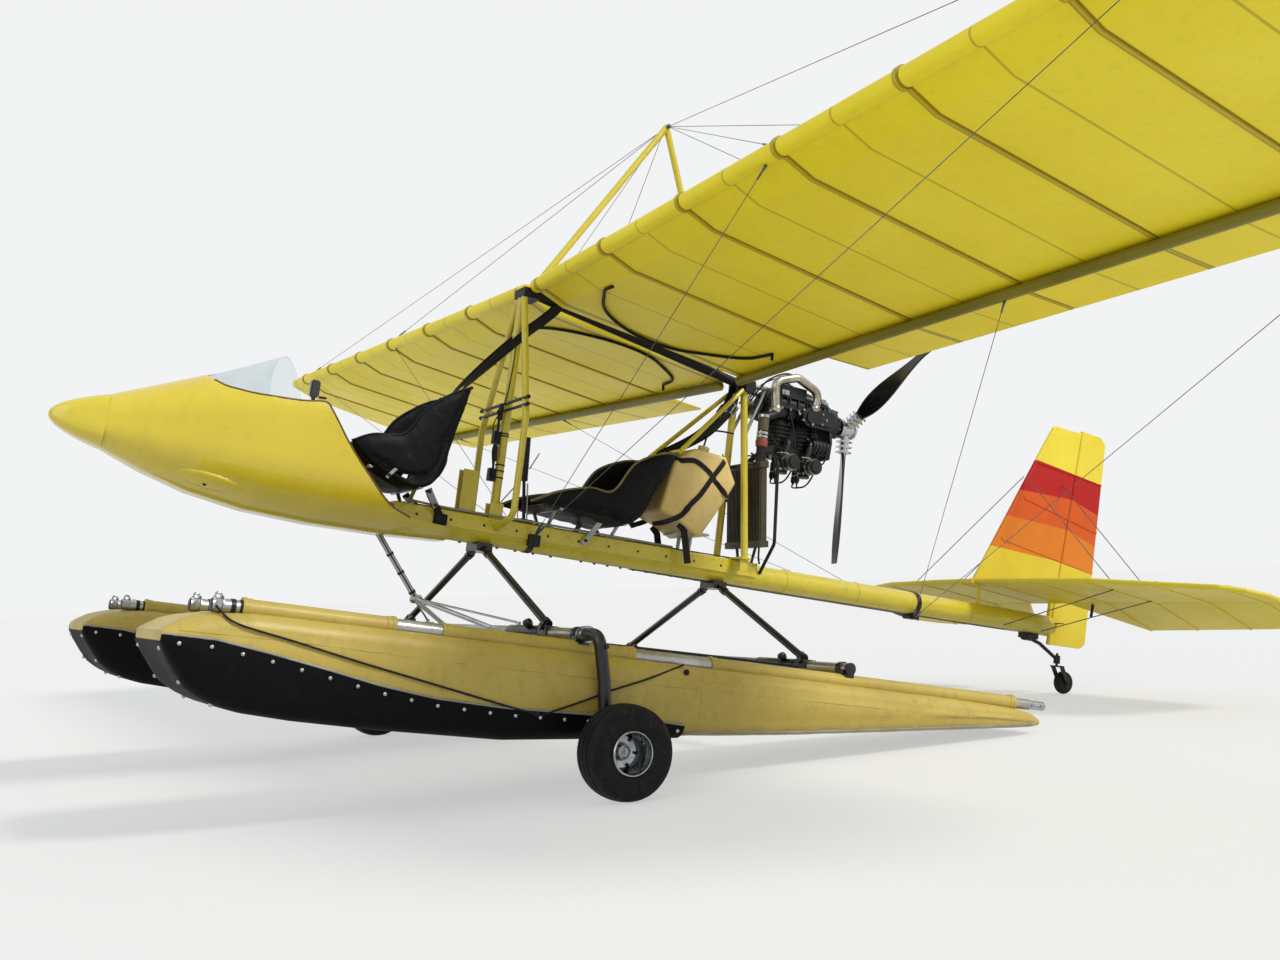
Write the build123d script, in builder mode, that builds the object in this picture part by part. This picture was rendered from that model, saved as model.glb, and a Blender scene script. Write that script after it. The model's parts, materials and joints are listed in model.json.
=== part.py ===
from build123d import *
import math
import os

# Two-seat tandem microlight with a pusher propeller on two inflatable amphibious floats.
# Millimetres. Everything is drawn in the aircraft's own datum: the boom lies along Y,
# nose towards -Y, left wing towards +X, up +Z, with Y = Z = 0 where the main wheels
# touch the ground. At export each piece is turned to the parked attitude.

# parked attitude
PARK_TILT = 9.7          # degrees nose up
SHIFT_Y = -1321.6         # brings the middle of the length to Y = 0
FIT = 0.1                # radial play of anything that turns in a bore
GAP = 6.0                # clearance of moving pieces

# boom and cockpit tray
BOOM_R = 63.5
BOOM_WALL = 3.0
BOOM_Z = 1063.0
BOOM_FRONT = -700.0
BOOM_REAR = 3690.0
TRAY_FRONT = -590.0
TRAY_REAR = 1430.0
TRAY_HALF = 70.0
TRAY_TOP = BOOM_Z + BOOM_R + 4.0
TRAY_BOTTOM = BOOM_Z - 8.0

# nose pod
POD_WALL = 5.0

# main wing
HALF_SPAN = 4570.0
ROOT_X = 60.0
DIHEDRAL = 2.25          # degrees
LE_Y = -27.0
LE_Z = 2286.0
LE_R = 35.0
REAR_SPAR_Y = 1187.0
REAR_SPAR_Z = 2064.0
REAR_SPAR_R = 25.0
WING_END_Y = 1213.0      # fabric ends just behind the rear spar
TRAIL_Y = 1500.0
TRAIL_Z = 2066.0
TIP_X = 4250.0           # where the leading edge tube starts to curve back
CUT_X = 750.0            # half width of the propeller cut-out
AILERON_IN = 2040.0
AILERON_OUT = 4230.0
RIB_PITCH = 640.0
RIB_FIRST = 752.0
RIB_H = 6.0
RIB_W = 20.0
RIB_CLEAR = 1.0          # ribs stop this far above the rear spar
WIRE_INNER_X = 1950.0
WIRE_OUTER_X = 3750.0

# floats
FLOAT_X = 950.0
FLOAT_TUBE_Z = 540.0
FLOAT_TUBE_R = 25.0
FLOAT_TUBE_OFF = 178.0
FLOAT_TUBE_END = 2350.0
SPIGOT_R = 22.0           # bare end of each float tube, where fittings slide on
SPIGOT_LEN = 100.0
SLEEVE_R = 34.0
BEAM_R = 25.0
BEAM_Z = FLOAT_TUBE_Z + SLEEVE_R + BEAM_R
BEAM_FRONT_Y = -125.0
BEAM_REAR_Y = 1210.0

# main wheels
WHEEL_R = 180.0
TYRE_HALF = 74.0
RIM_R = 92.0
TRACK_X = 1400.0
AXLE_R = 12.0
LEG_X = 1262.0
LEG_R = 25.0
WHEEL_Y = -WHEEL_R * math.sin(math.radians(PARK_TILT))
WHEEL_Z = WHEEL_R * math.cos(math.radians(PARK_TILT))

# tail
HINGE_FOOT_Y = 3742.0    # rudder hinge where it passes z = 1130
HINGE_FOOT_Z = 1130.0
HINGE_HEAD_Y = 3923.0
HINGE_HEAD_Z = 2336.0
STAB_Z = 1215.0
STAB_HINGE_Y = 3690.0
STAB_HALF_SPAN = 1560.0
STAB_TILT = 4.0
STAB_T = 24.0
TAIL_WHEEL_R = 70.0
TAIL_WHEEL_Y = 3867.0
TAIL_WHEEL_Z = (TAIL_WHEEL_R + TAIL_WHEEL_Y * math.sin(math.radians(PARK_TILT))) / math.cos(math.radians(PARK_TILT))

EDGE_R = 14.0            # tube round the edge of each tail surface
TAIL_RIB_W = 16.0
TAIL_RIB_H = 4.0
TAIL_RIBS = [110.0, 455.0, 790.0, 1140.0, 1470.0]
ELEVATOR_DROOP = 12.0    # how far the elevator hangs when nobody holds the stick
RUDDER_GAP = 22.0

# power unit: the engine hangs upside down from rails behind the wing's root
HANG_Z = 2068.0          # height of the rails
RAIL_R = 13.0
RAIL_X = 68.0
ENGINE_FRONT = 1440.0
CASE_LEN = 345.0
CASE_H = 130.0
CRANK_Z = HANG_Z - RAIL_R - CASE_H / 2
HEAD_Z = CRANK_Z - 265.0
PROP_Y = 1995.0
PROP_Z = CRANK_Z - 18.0
PROP_R = 762.0
HUB_R = 44.0

# radiator, leaning like the posts in front of it
RAD_Y = 1372.0
RAD_W = 310.0
RAD_TALL = 443.0
RAD_T = 30.0
RAD_LEAN = 6.0
RAD_Z = HANG_Z - 634.0   # middle

os.makedirs("parts", exist_ok=True)


def rod(a, b, r, mode=Mode.ADD):
    """A round bar from point a to point b in the open part."""
    a, b = Vector(*a), Vector(*b)
    with Locations(Plane(origin=(a + b) * 0.5, z_dir=b - a)):
        Cylinder(r, (b - a).length, mode=mode)


def bent(points, r):
    """A bar through all the points, with a ball at each bend."""
    for a, b in zip(points, points[1:]):
        rod(a, b, r)
    for p in points[1:-1]:
        with Locations(p):
            Sphere(r)


def pipe(points, r, bend):
    """A bar swept along the points, with arcs of radius bend at the corners."""
    with BuildLine(mode=Mode.PRIVATE) as route:
        FilletPolyline(*points, radius=bend)
    path = route.wires()[0]
    with BuildSketch(Plane(origin=path @ 0, z_dir=path % 0)) as section:
        Circle(r)
    sweep(sections=section.sketch, path=path)


def less(*others):
    """Cuts other finished pieces out of the open part."""
    for other in others:
        add(other.part, mode=Mode.SUBTRACT)


def mirrored(piece):
    """The same piece on the other side of the centre plane."""
    return mirror(piece, about=Plane.YZ, mode=Mode.PRIVATE)


finished = []


def finish(shape, label):
    """Turns a piece to the parked attitude and writes it."""
    placed = Pos(0, SHIFT_Y, 0) * Rot(-PARK_TILT, 0, 0) * shape
    placed.label = label
    export_step(placed, f"parts/{label}.step")
    finished.append(label)


# boom
with BuildPart() as boom_solid:
    rod((0, BOOM_FRONT, BOOM_Z), (0, BOOM_REAR, BOOM_Z), BOOM_R)
with BuildPart() as main_boom:
    rod((0, BOOM_FRONT, BOOM_Z), (0, BOOM_REAR, BOOM_Z), BOOM_R)
    rod((0, BOOM_FRONT, BOOM_Z), (0, BOOM_REAR, BOOM_Z), BOOM_R - BOOM_WALL, Mode.SUBTRACT)

# cockpit tray: a channel turned upside down over the boom's upper half
with BuildPart() as cockpit_tray:
    with BuildSketch(Plane.XZ.offset(-TRAY_REAR)):
        with Locations((0, (TRAY_TOP + TRAY_BOTTOM) / 2)):
            Rectangle(2 * TRAY_HALF, TRAY_TOP - TRAY_BOTTOM)
    extrude(amount=TRAY_REAR - TRAY_FRONT)
    fillet(cockpit_tray.edges().filter_by(Axis.Y).group_by(Axis.Z)[-1], 10)
    less(boom_solid)

# nose pod, an open tub drawn to a point
POD_SECTIONS = [
    # y, bottom, top, half width
    (-2046.0, 1240.0, 1272.0, 16.0),
    (-1985.0, 1208.0, 1300.0, 48.0),
    (-1850.0, 1144.0, 1362.0, 112.0),
    (-1680.0, 1078.0, 1436.0, 178.0),
    (-1480.0, 1020.0, 1526.0, 232.0),
    (-1240.0, 982.0, 1610.0, 270.0),
    (-950.0, 968.0, 1650.0, 288.0),
    (-640.0, 970.0, 1620.0, 282.0),
    (-330.0, 985.0, 1540.0, 250.0),
]
POD_RIM = [
    # y and z along the cockpit's edge, seen from the side
    (-1490.0, 1515.0),
    (-1466.0, 1487.0),
    (-1428.0, 1467.0),
    (-1380.0, 1458.0),
    (-1292.0, 1450.0),
    (-1125.0, 1455.0),
    (-1022.0, 1469.0),
    (-984.0, 1428.0),
    (-895.0, 1305.0),
    (-783.0, 1181.0),
    (-673.0, 1088.0),
    (-560.0, 1048.0),
    (-300.0, 1035.0),
]


def pod_body(shrink, nose):
    """The pod's outer shape, or with shrink its inside."""
    with BuildPart() as body:
        for y, low, high, half in POD_SECTIONS:
            wide, tall = 2 * (half - shrink), high - low - 2 * shrink
            if y == POD_SECTIONS[0][0]:
                y, wide, tall = y + nose, 2 * half - shrink, high - low - shrink
            if y == POD_SECTIONS[-1][0] and shrink:
                y += 40
            with BuildSketch(Plane.XZ.offset(-y)):
                with Locations((0, (low + high) / 2)):
                    RectangleRounded(wide, tall, 0.42 * min(wide, tall))
        loft(ruled=True)
    return body


pod_outer = pod_body(0.0, 0.0)
pod_inner = pod_body(POD_WALL, 60.0)
with BuildPart() as nose_pod:
    add(pod_outer.part)
    less(pod_inner)
    with BuildSketch(Plane.YZ.offset(-400)):
        with BuildLine():
            Polyline((POD_RIM[0][0], 1800), *POD_RIM, (POD_RIM[-1][0], 1800), close=True)
        make_face()
    extrude(amount=800, mode=Mode.SUBTRACT)
    less(boom_solid, cockpit_tray)

# clear windscreen, a bent sheet standing on the pod's rim
SCREEN_T = 3.0
SCREEN_PEAK = (-1172.0, 1681.0)
SCREEN_RIM = 6             # how many points of the rim the screen stands on
SCREEN_SECTIONS = [
    # y, half width at the rim, height of the rim, crest
    (-1490.0, 128.0, 1500.0, 1523.0),
    (-1428.0, 195.0, 1467.0, 1547.0),
    (-1292.0, 244.0, 1450.0, 1616.0),
    (-1166.0, 262.0, 1453.0, 1682.0),
    (-1040.0, 271.0, 1466.0, 1745.0),
]


def screen_body(shrink):
    """The windscreen's outer shape, or with shrink its inside."""
    with BuildPart() as body:
        for y, half, low, crest in SCREEN_SECTIONS:
            with BuildSketch(Plane.XZ.offset(-y)):
                with BuildLine():
                    ThreePointArc((-half + shrink, low), (0, crest - shrink), (half - shrink, low))
                    Line((half - shrink, low), (half - shrink, low - 60))
                    Line((half - shrink, low - 60), (-half + shrink, low - 60))
                    Line((-half + shrink, low - 60), (-half + shrink, low))
                make_face()
        loft(ruled=True)
    return body


screen_outer = screen_body(0.0)
screen_inner = screen_body(SCREEN_T)
with BuildPart() as windscreen:
    add(screen_outer.part)
    less(screen_inner)
    with BuildSketch(Plane.YZ.offset(-400)):
        with BuildLine():
            Polyline((POD_RIM[0][0], 1900), *POD_RIM[:SCREEN_RIM], SCREEN_PEAK, (SCREEN_PEAK[0], 1900), close=True)
        make_face()
    extrude(amount=800, mode=Mode.INTERSECT)
    less(nose_pod)

# instrument panel across the pod, with a round gauge bezel table
GAUGES = [
    # x, z, radius
    (-150.0, 1392.0, 40.0),
    (-50.0, 1400.0, 44.0),
    (55.0, 1400.0, 44.0),
    (150.0, 1392.0, 30.0),
]
PANEL_Y = -1230.0
with BuildPart() as instrument_panel:
    with BuildSketch(Plane.XZ.offset(-PANEL_Y)):
        with Locations((0, 1382)):
            RectangleRounded(600, 128, 30)
    extrude(amount=6)
    for x, z, r in GAUGES:
        rod((x, PANEL_Y - 50, z), (x, PANEL_Y + 8, z), r)
        rod((x, PANEL_Y + 4, z), (x, PANEL_Y + 10, z), r - 6, Mode.SUBTRACT)
with BuildPart() as panel_trim:
    add(instrument_panel.part)
    add(pod_inner.part, mode=Mode.INTERSECT)
instrument_panel = panel_trim

# rudder pedals on a cross tube in the nose
PEDAL_Y = -1330.0
with BuildPart() as rudder_pedals:
    rod((-170, PEDAL_Y, 1110), (170, PEDAL_Y, 1110), 9)
    for x in (-110.0, 110.0):
        rod((x, PEDAL_Y, 1110), (x, PEDAL_Y - 40, 1230), 8)
        with Locations(Plane(origin=(x, PEDAL_Y - 44, 1240), z_dir=(0, 1, 0.33))):
            Box(80, 110, 6)
    rod((0, PEDAL_Y, 1114), (0, BOOM_FRONT, BOOM_Z + BOOM_R - 12), 12)
    less(boom_solid)

# front posts: mast in the middle and two bowed legs that meet the boom's sides
POST_FRONT_Y = -75.0
POST_HEAD_Z = 2225.0
MAST_R = 22.0
LEG_POST_R = 16.0
with BuildPart() as front_posts:
    with Locations((0, POST_FRONT_Y, TRAY_TOP + 5)):
        Box(120, 90, 10)
    rod((0, POST_FRONT_Y, TRAY_TOP + 4), (0, POST_FRONT_Y + 8, POST_HEAD_Z), MAST_R)
    for s in (-1, 1):
        pipe([(TRAY_HALF * s, POST_FRONT_Y - 6, 1084), (250 * s, POST_FRONT_Y - 8, 1130),
              (252 * s, POST_FRONT_Y - 8, 1590), (36 * s, POST_FRONT_Y + 4, POST_HEAD_Z)], LEG_POST_R, 60)
        with Locations((28 * s, POST_FRONT_Y - 150, TRAY_TOP + 105)):
            Box(8, 74, 210)
        with Locations((34 * s, POST_FRONT_Y, TRAY_TOP + 40)):
            Box(8, 60, 70)
    for z in (1655.0, 1690.0):
        rod((-265, POST_FRONT_Y - 16, z), (265, POST_FRONT_Y - 16, z), 7)
    less(cockpit_tray)

# black root tube under the wing with its front and rear brackets
ROOT_TUBE_R = 25.0
ROOT_FRONT = (0, 5, 2262)
ROOT_REAR = (0, 1270, HANG_Z + 7)
with BuildPart() as root_tube:
    rod(ROOT_FRONT, ROOT_REAR, ROOT_TUBE_R)
    with Locations((0, -40, 2250)):
        Box(112, 90, 48)
    with Locations((0, 1270, HANG_Z - 8)):
        Box(170, 60, 60)
    less(front_posts)

# rear posts: a splayed pair and the two braces to the rear seat back
POST_REAR_Y = 1300.0
SEAT_TOP = (800.0, 1596.0)  # y and z of the rear seat's top edge
with BuildPart() as rear_posts:
    with Locations((0, POST_REAR_Y, TRAY_TOP + 5)):
        Box(300, 60, 10)
    for s in (-1, 1):
        rod((131 * s, POST_REAR_Y, TRAY_TOP + 5), (42 * s, 1256, HANG_Z - 30), 19)
        rod((60 * s, 1236, HANG_Z - 34), (152 * s, SEAT_TOP[0] + 34, SEAT_TOP[1] + 20), 12)
        with Locations((131 * s, POST_REAR_Y, TRAY_TOP - 25)):
            Box(8, 50, 70)
    rod((-152, SEAT_TOP[0] + 34, SEAT_TOP[1] + 20), (152, SEAT_TOP[0] + 34, SEAT_TOP[1] + 20), 12)
    less(root_tube)

# king post: an A of two legs above the root
KING_APEX = (0, 630, 3348)
with BuildPart() as king_post:
    bent([(0, -15, 2290), KING_APEX, (0, 1130, HANG_Z + 37)], 17)
    less(root_tube)


def wing_section(plane, grow=0.0):
    """The wing's section in a plane of constant span, grown all round for a rib."""
    with BuildSketch(plane) as section:
        with BuildLine():
            bottom = REAR_SPAR_Z + REAR_SPAR_R + FIT
            top_le = (LE_Y + 8, LE_Z + LE_R)
            low_le = (LE_Y + 0.7 * LE_R, LE_Z - 0.7 * LE_R)
            ThreePointArc(top_le, (LE_Y - LE_R, LE_Z), low_le)
            Line(low_le, (LE_Y + 150, LE_Z - 74))
            Line((LE_Y + 150, LE_Z - 74), (WING_END_Y, bottom))
            Line((WING_END_Y, bottom), (WING_END_Y, bottom + 14))
            ThreePointArc((WING_END_Y, bottom + 14), (380, 2342), top_le)
        make_face()
        if grow:
            offset(amount=grow)
            with Locations((WING_END_Y, bottom + RIB_CLEAR - REAR_SPAR_R)):
                Rectangle(6 * REAR_SPAR_R, 2 * REAR_SPAR_R, mode=Mode.SUBTRACT)
    return section


def tip_section(x, front, thick):
    """The thin section near the rounded tip, with as many edges as the wing's."""
    mid = REAR_SPAR_Z + REAR_SPAR_R + FIT + thick / 2
    slope = (LE_Z - mid) / (WING_END_Y - LE_Y)
    front_z = mid + slope * (WING_END_Y - front)
    with BuildSketch(Plane.YZ.offset(x)) as section:
        with BuildLine():
            top_le = (front, front_z + thick / 2)
            low_le = (front, front_z - thick / 2)
            bottom = mid - thick / 2
            ThreePointArc(top_le, (front - thick / 2, front_z), low_le)
            Line(low_le, (front + 60, front_z - thick / 2 - 14))
            Line((front + 60, front_z - thick / 2 - 14), (WING_END_Y, bottom))
            Line((WING_END_Y, bottom), (WING_END_Y, bottom + 14))
            ThreePointArc((WING_END_Y, bottom + 14), ((front + WING_END_Y) / 2,
                          (front_z + mid) / 2 + thick / 2 + 10), top_le)
        make_face()
    return section


def with_dihedral(shape):
    """Raises a left-hand piece drawn flat by the dihedral, about the root."""
    return Pos(0, 0, LE_Z) * Rot(0, -DIHEDRAL, 0) * Pos(0, 0, -LE_Z) * shape


def dihedral_point(x, y, z):
    a = math.radians(DIHEDRAL)
    return (x * math.cos(a) - (z - LE_Z) * math.sin(a), y,
            LE_Z + x * math.sin(a) + (z - LE_Z) * math.cos(a))


TIP_BOW = [
    # x, leading edge, thickness
    (4400.0, 95.0, 60.0),
    (4500.0, 330.0, 44.0),
    (4556.0, 700.0, 34.0),
]
ribs_at = [RIB_FIRST + RIB_PITCH * k for k in range(6)]

with BuildPart() as wing_flat:
    root_face = wing_section(Plane.YZ.offset(ROOT_X))
    tip_face = wing_section(Plane.YZ.offset(TIP_X))
    loft(sections=[root_face.sketch, tip_face.sketch], ruled=True)
    for k, (x, front, thick) in enumerate(TIP_BOW):
        if k == 0:
            a = wing_section(Plane.YZ.offset(TIP_X))
        else:
            a = tip_section(*TIP_BOW[k - 1])
        b = tip_section(x, front, thick)
        loft(sections=[a.sketch, b.sketch], ruled=True)
    for x in ribs_at:
        rib = wing_section(Plane.YZ.offset(x - RIB_W / 2), RIB_H)
        extrude(rib.sketch, amount=RIB_W)
HINGE_Y = REAR_SPAR_Y + REAR_SPAR_R + 22.0
HINGE_Z = REAR_SPAR_Z + 14.0
AILERON_HINGE_Y = HINGE_Y + 6.0
STRIP_R = 13.0
PIN_R = 5.0
with BuildPart() as hinge_bore:
    rod((AILERON_IN - 40, AILERON_HINGE_Y, HINGE_Z), (AILERON_OUT + 40, AILERON_HINGE_Y, HINGE_Z), PIN_R + FIT)
with BuildPart() as spar_flat:
    with Locations((AILERON_OUT + GAP + 6, REAR_SPAR_Y + 32, HINGE_Z)):
        Box(12, 64, 18)
    less(hinge_bore)
    rod((ROOT_X + 22, REAR_SPAR_Y, REAR_SPAR_Z), (4440, REAR_SPAR_Y, REAR_SPAR_Z), REAR_SPAR_R)
with BuildPart() as spar_bore:
    rod((ROOT_X - 20, REAR_SPAR_Y, REAR_SPAR_Z), (4600, REAR_SPAR_Y, REAR_SPAR_Z), REAR_SPAR_R + FIT)

# the strip behind the rear spar: fixed inboard, aileron outboard


def strip(x0, x1, nose_y):
    """A tapered trailing-edge strip with a round nose, from x0 to x1."""
    with BuildSketch(Plane.YZ.offset(x0)) as section:
        with BuildLine():
            ThreePointArc((nose_y, HINGE_Z + STRIP_R), (nose_y - STRIP_R, HINGE_Z), (nose_y, HINGE_Z - STRIP_R))
            Line((nose_y, HINGE_Z - STRIP_R), (TRAIL_Y, TRAIL_Z - 4))
            Line((TRAIL_Y, TRAIL_Z - 4), (TRAIL_Y, TRAIL_Z + 4))
            Line((TRAIL_Y, TRAIL_Z + 4), (nose_y, HINGE_Z + STRIP_R))
        make_face()
    extrude(section.sketch, amount=x1 - x0)


with BuildPart() as strip_flat:
    strip(CUT_X, AILERON_IN - GAP, HINGE_Y)
    for x in (CUT_X + 60, (CUT_X + AILERON_IN) / 2, AILERON_IN - 70):
        with Locations((x, HINGE_Y - 17, HINGE_Z + 4)):
            Box(14, 40, 10)
    less(spar_bore, wing_flat, hinge_bore)
with BuildPart() as aileron_flat:
    strip(AILERON_IN, AILERON_OUT, AILERON_HINGE_Y)
    rod((AILERON_IN - 34, AILERON_HINGE_Y, HINGE_Z), (AILERON_OUT + 24, AILERON_HINGE_Y, HINGE_Z), PIN_R)

with BuildPart() as wing_left:
    add(with_dihedral(wing_flat.part))
with BuildPart() as spar_left:
    add(with_dihedral(spar_flat.part))
    less(root_tube)
with BuildPart() as strip_left:
    add(with_dihedral(strip_flat.part))
with BuildPart() as aileron_left:
    add(with_dihedral(aileron_flat.part))

# wires: every wire as a thin taut rod
WIRE_R = 1.6
front_anchor = (BOOM_R + 12, 116, BOOM_Z + 10)
rear_anchor = (22, 2585, BOOM_Z - BOOM_R - 22)
FLYING = [
    # wing x, wing y, wing z, anchor
    (WIRE_INNER_X, LE_Y, LE_Z - LE_R - 2, front_anchor),
    (WIRE_OUTER_X, LE_Y, LE_Z - LE_R - 2, front_anchor),
    (WIRE_INNER_X, REAR_SPAR_Y, REAR_SPAR_Z - REAR_SPAR_R - 2, rear_anchor),
    (WIRE_OUTER_X, REAR_SPAR_Y, REAR_SPAR_Z - REAR_SPAR_R - 2, rear_anchor),
]
with BuildPart() as flying_half:
    for x, y, z, anchor in FLYING:
        rod(dihedral_point(x, y, z), anchor, WIRE_R)
with BuildPart() as anchors:
    with Locations((BOOM_R + 12, 116, BOOM_Z - 10)):
        Box(24, 60, 56)
    with Locations((-BOOM_R - 12, 116, BOOM_Z - 10)):
        Box(24, 60, 56)
    with Locations((0, 2585, BOOM_Z - BOOM_R - 12)):
        Box(60, 70, 30)
    rod((0, 2570, BOOM_Z), (0, 2600, BOOM_Z), BOOM_R + 4)
    rod((0, 101, BOOM_Z), (0, 131, BOOM_Z), BOOM_R + 4)
    less(boom_solid, cockpit_tray)
with BuildPart() as flying_wires:
    add(flying_half.part)
    add(mirrored(flying_half.part))
    less(anchors, spar_left)

LANDING = [
    # wing x, wing y, wing z
    (WIRE_INNER_X, LE_Y, LE_Z + LE_R + 6),
    (WIRE_OUTER_X, LE_Y, LE_Z + LE_R + 6),
    (WIRE_INNER_X, REAR_SPAR_Y - 40, REAR_SPAR_Z + REAR_SPAR_R + 40),
    (WIRE_OUTER_X, REAR_SPAR_Y - 40, REAR_SPAR_Z + REAR_SPAR_R + 40),
]
with BuildPart() as landing_half:
    for x, y, z in LANDING:
        rod(dihedral_point(x, y, z), (17, KING_APEX[1], KING_APEX[2]), WIRE_R)
    less(wing_left)
with BuildPart() as landing_wires:
    add(landing_half.part)
    add(mirrored(landing_half.part))
    less(king_post)

# floats
FLOAT_SECTIONS = [
    # y, bottom, top, half width
    (-1693.0, 402.0, 438.0, 244.0),
    (-1676.0, 366.0, 454.0, 252.0),
    (-1638.0, 314.0, 480.0, 258.0),
    (-1597.0, 268.0, 496.0, 262.0),
    (-1546.0, 237.0, 508.0, 265.0),
    (-1485.0, 214.0, 518.0, 268.0),
    (-1400.0, 198.0, 526.0, 270.0),
    (-1229.0, 186.0, 528.0, 272.0),
    (-926.0, 179.0, 528.0, 274.0),
    (-440.0, 180.0, 528.0, 276.0),
    (900.0, 290.0, 528.0, 274.0),
    (1800.0, 378.0, 526.0, 260.0),
    (2200.0, 420.0, 516.0, 246.0),
    (2330.0, 434.0, 500.0, 238.0),
    (2385.0, 446.0, 478.0, 226.0),
]
HULL_CORNER = 62.0


def hull_body(grow):
    with BuildPart() as body:
        for y, low, high, half in FLOAT_SECTIONS:
            with BuildSketch(Plane.XZ.offset(-y)):
                with Locations((FLOAT_X, (low + high) / 2)):
                    wide, tall = 2 * (half + grow), high - low + 2 * grow
                    RectangleRounded(wide, tall, min(HULL_CORNER, 0.42 * tall))
        loft(ruled=True)
    return body


hull_core = hull_body(0.0)
hull_grown = hull_body(5.0)
SLEEVES = [
    # from y, to y
    (-1440.0, -890.0),
    (-711.0, 113.0),
    (481.0, 2240.0),
]
COLLAR = 34.0
BARE_R = 31.0             # thicker bare tube between the sleeves
with BuildPart() as float_tubes_half:
    for s in (-1, 1):
        x = FLOAT_X + s * FLOAT_TUBE_OFF
        rod((x, -1540, FLOAT_TUBE_Z), (x, FLOAT_TUBE_END, FLOAT_TUBE_Z), FLOAT_TUBE_R)
        rod((x, FLOAT_TUBE_END, FLOAT_TUBE_Z), (x, FLOAT_TUBE_END + SPIGOT_LEN, FLOAT_TUBE_Z), SPIGOT_R)
        for (_, a), (b, _) in zip(SLEEVES, SLEEVES[1:]):
            rod((x, a, FLOAT_TUBE_Z), (x, b, FLOAT_TUBE_Z), BARE_R)
with BuildPart() as sleeves_left:
    for s in (-1, 1):
        x = FLOAT_X + s * FLOAT_TUBE_OFF
        for a, b in SLEEVES:
            rod((x, a + COLLAR, FLOAT_TUBE_Z), (x, b - COLLAR, FLOAT_TUBE_Z), SLEEVE_R)
    less(float_tubes_half)
with BuildPart() as collars_half:
    for s in (-1, 1):
        x = FLOAT_X + s * FLOAT_TUBE_OFF
        for a, b in SLEEVES:
            rod((x, a, FLOAT_TUBE_Z), (x, a + COLLAR, FLOAT_TUBE_Z), SLEEVE_R + 2)
            rod((x, b - COLLAR, FLOAT_TUBE_Z), (x, b, FLOAT_TUBE_Z), SLEEVE_R + 2)
    less(float_tubes_half)
with BuildPart() as float_left:
    add(hull_core.part)
    less(float_tubes_half, sleeves_left, collars_half)
GUARD_END = 330.0
with BuildPart() as guard_left:
    add(hull_grown.part)
    with BuildSketch(Plane.YZ.offset(0)):
        with BuildLine():
            Polyline((-1800, 424), (-1528, 424), (-1358, 400), (-1156, 366), (-949, 328), (-734, 302),
                     (-460, 292), (100, 300), (GUARD_END, 290), (GUARD_END, 0), (-1800, 0), close=True)
        make_face()
    extrude(amount=2000, mode=Mode.INTERSECT)
    less(hull_core)

# cross beams between the floats, black sleeves over their ends, and saddle clamps
with BuildPart() as cross_beams:
    for y in (BEAM_FRONT_Y, BEAM_REAR_Y):
        rod((-1160, y, BEAM_Z), (1160, y, BEAM_Z), BEAM_R)
    less(sleeves_left)
    add(mirrored(sleeves_left.part), mode=Mode.SUBTRACT)

# struts from the boom to the cross beams
STRUT_R = 17.0
STRUT_FOOT_X = 830.0
with BuildPart() as float_struts:
    for y in (BEAM_FRONT_Y, BEAM_REAR_Y):
        with Locations((0, y, BOOM_Z - BOOM_R - 14)):
            Box(130, 80, 40)
        for s in (-1, 1):
            rod((50 * s, y, BOOM_Z - BOOM_R - 18), (STRUT_FOOT_X * s, y, BEAM_Z + BEAM_R + 6), STRUT_R)
            with Locations((STRUT_FOOT_X * s, y, BEAM_Z + BEAM_R * 0.4)):
                Box(80, 62, BEAM_R * 1.6)
    for s in (-1, 1):
        rod((120 * s, BEAM_FRONT_Y + 14, BEAM_Z), (700 * s, BEAM_REAR_Y - 14, BEAM_Z), 7)
    less(boom_solid, cross_beams, pod_outer)

# nose truss: a tube from the boom under the pod to a joint, and two pairs from there to the front beam
NOSE_TOP = (0, -640, BOOM_Z - BOOM_R - 2)
NOSE_JOINT = (0, -402, 707)
TRUSS = [
    # x on the front beam, height on the beam, radius
    (280.0, BEAM_Z + 10, 11.0),
    (540.0, BEAM_Z + BEAM_R + 14, 5.0),
]
with BuildPart() as nose_truss:
    rod(NOSE_TOP, NOSE_JOINT, 14)
    rod((-32, NOSE_JOINT[1], NOSE_JOINT[2]), (32, NOSE_JOINT[1], NOSE_JOINT[2]), 20)
    for x, z, r in TRUSS:
        for s in (-1, 1):
            rod((22 * s, NOSE_JOINT[1], NOSE_JOINT[2]), (x * s, BEAM_FRONT_Y, z), r)
            rod((x * s, BEAM_FRONT_Y, BEAM_Z), (x * s, BEAM_FRONT_Y, z + r), r + 5)
    less(pod_outer, boom_solid, float_struts)

# landing gear legs: a bent tube from the front beam's end down to the axle
with BuildPart() as gear_leg_left:
    pipe([(1160.5, BEAM_FRONT_Y, BEAM_Z), (LEG_X + 4, BEAM_FRONT_Y + 4, BEAM_Z + 4),
          (LEG_X + 8, -80, BEAM_Z - 170), (LEG_X, WHEEL_Y, WHEEL_Z - 26)], LEG_R, 70)
    rod((LEG_X, WHEEL_Y, WHEEL_Z), (TRACK_X + 62, WHEEL_Y, WHEEL_Z), AXLE_R)
    less(cross_beams)

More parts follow.
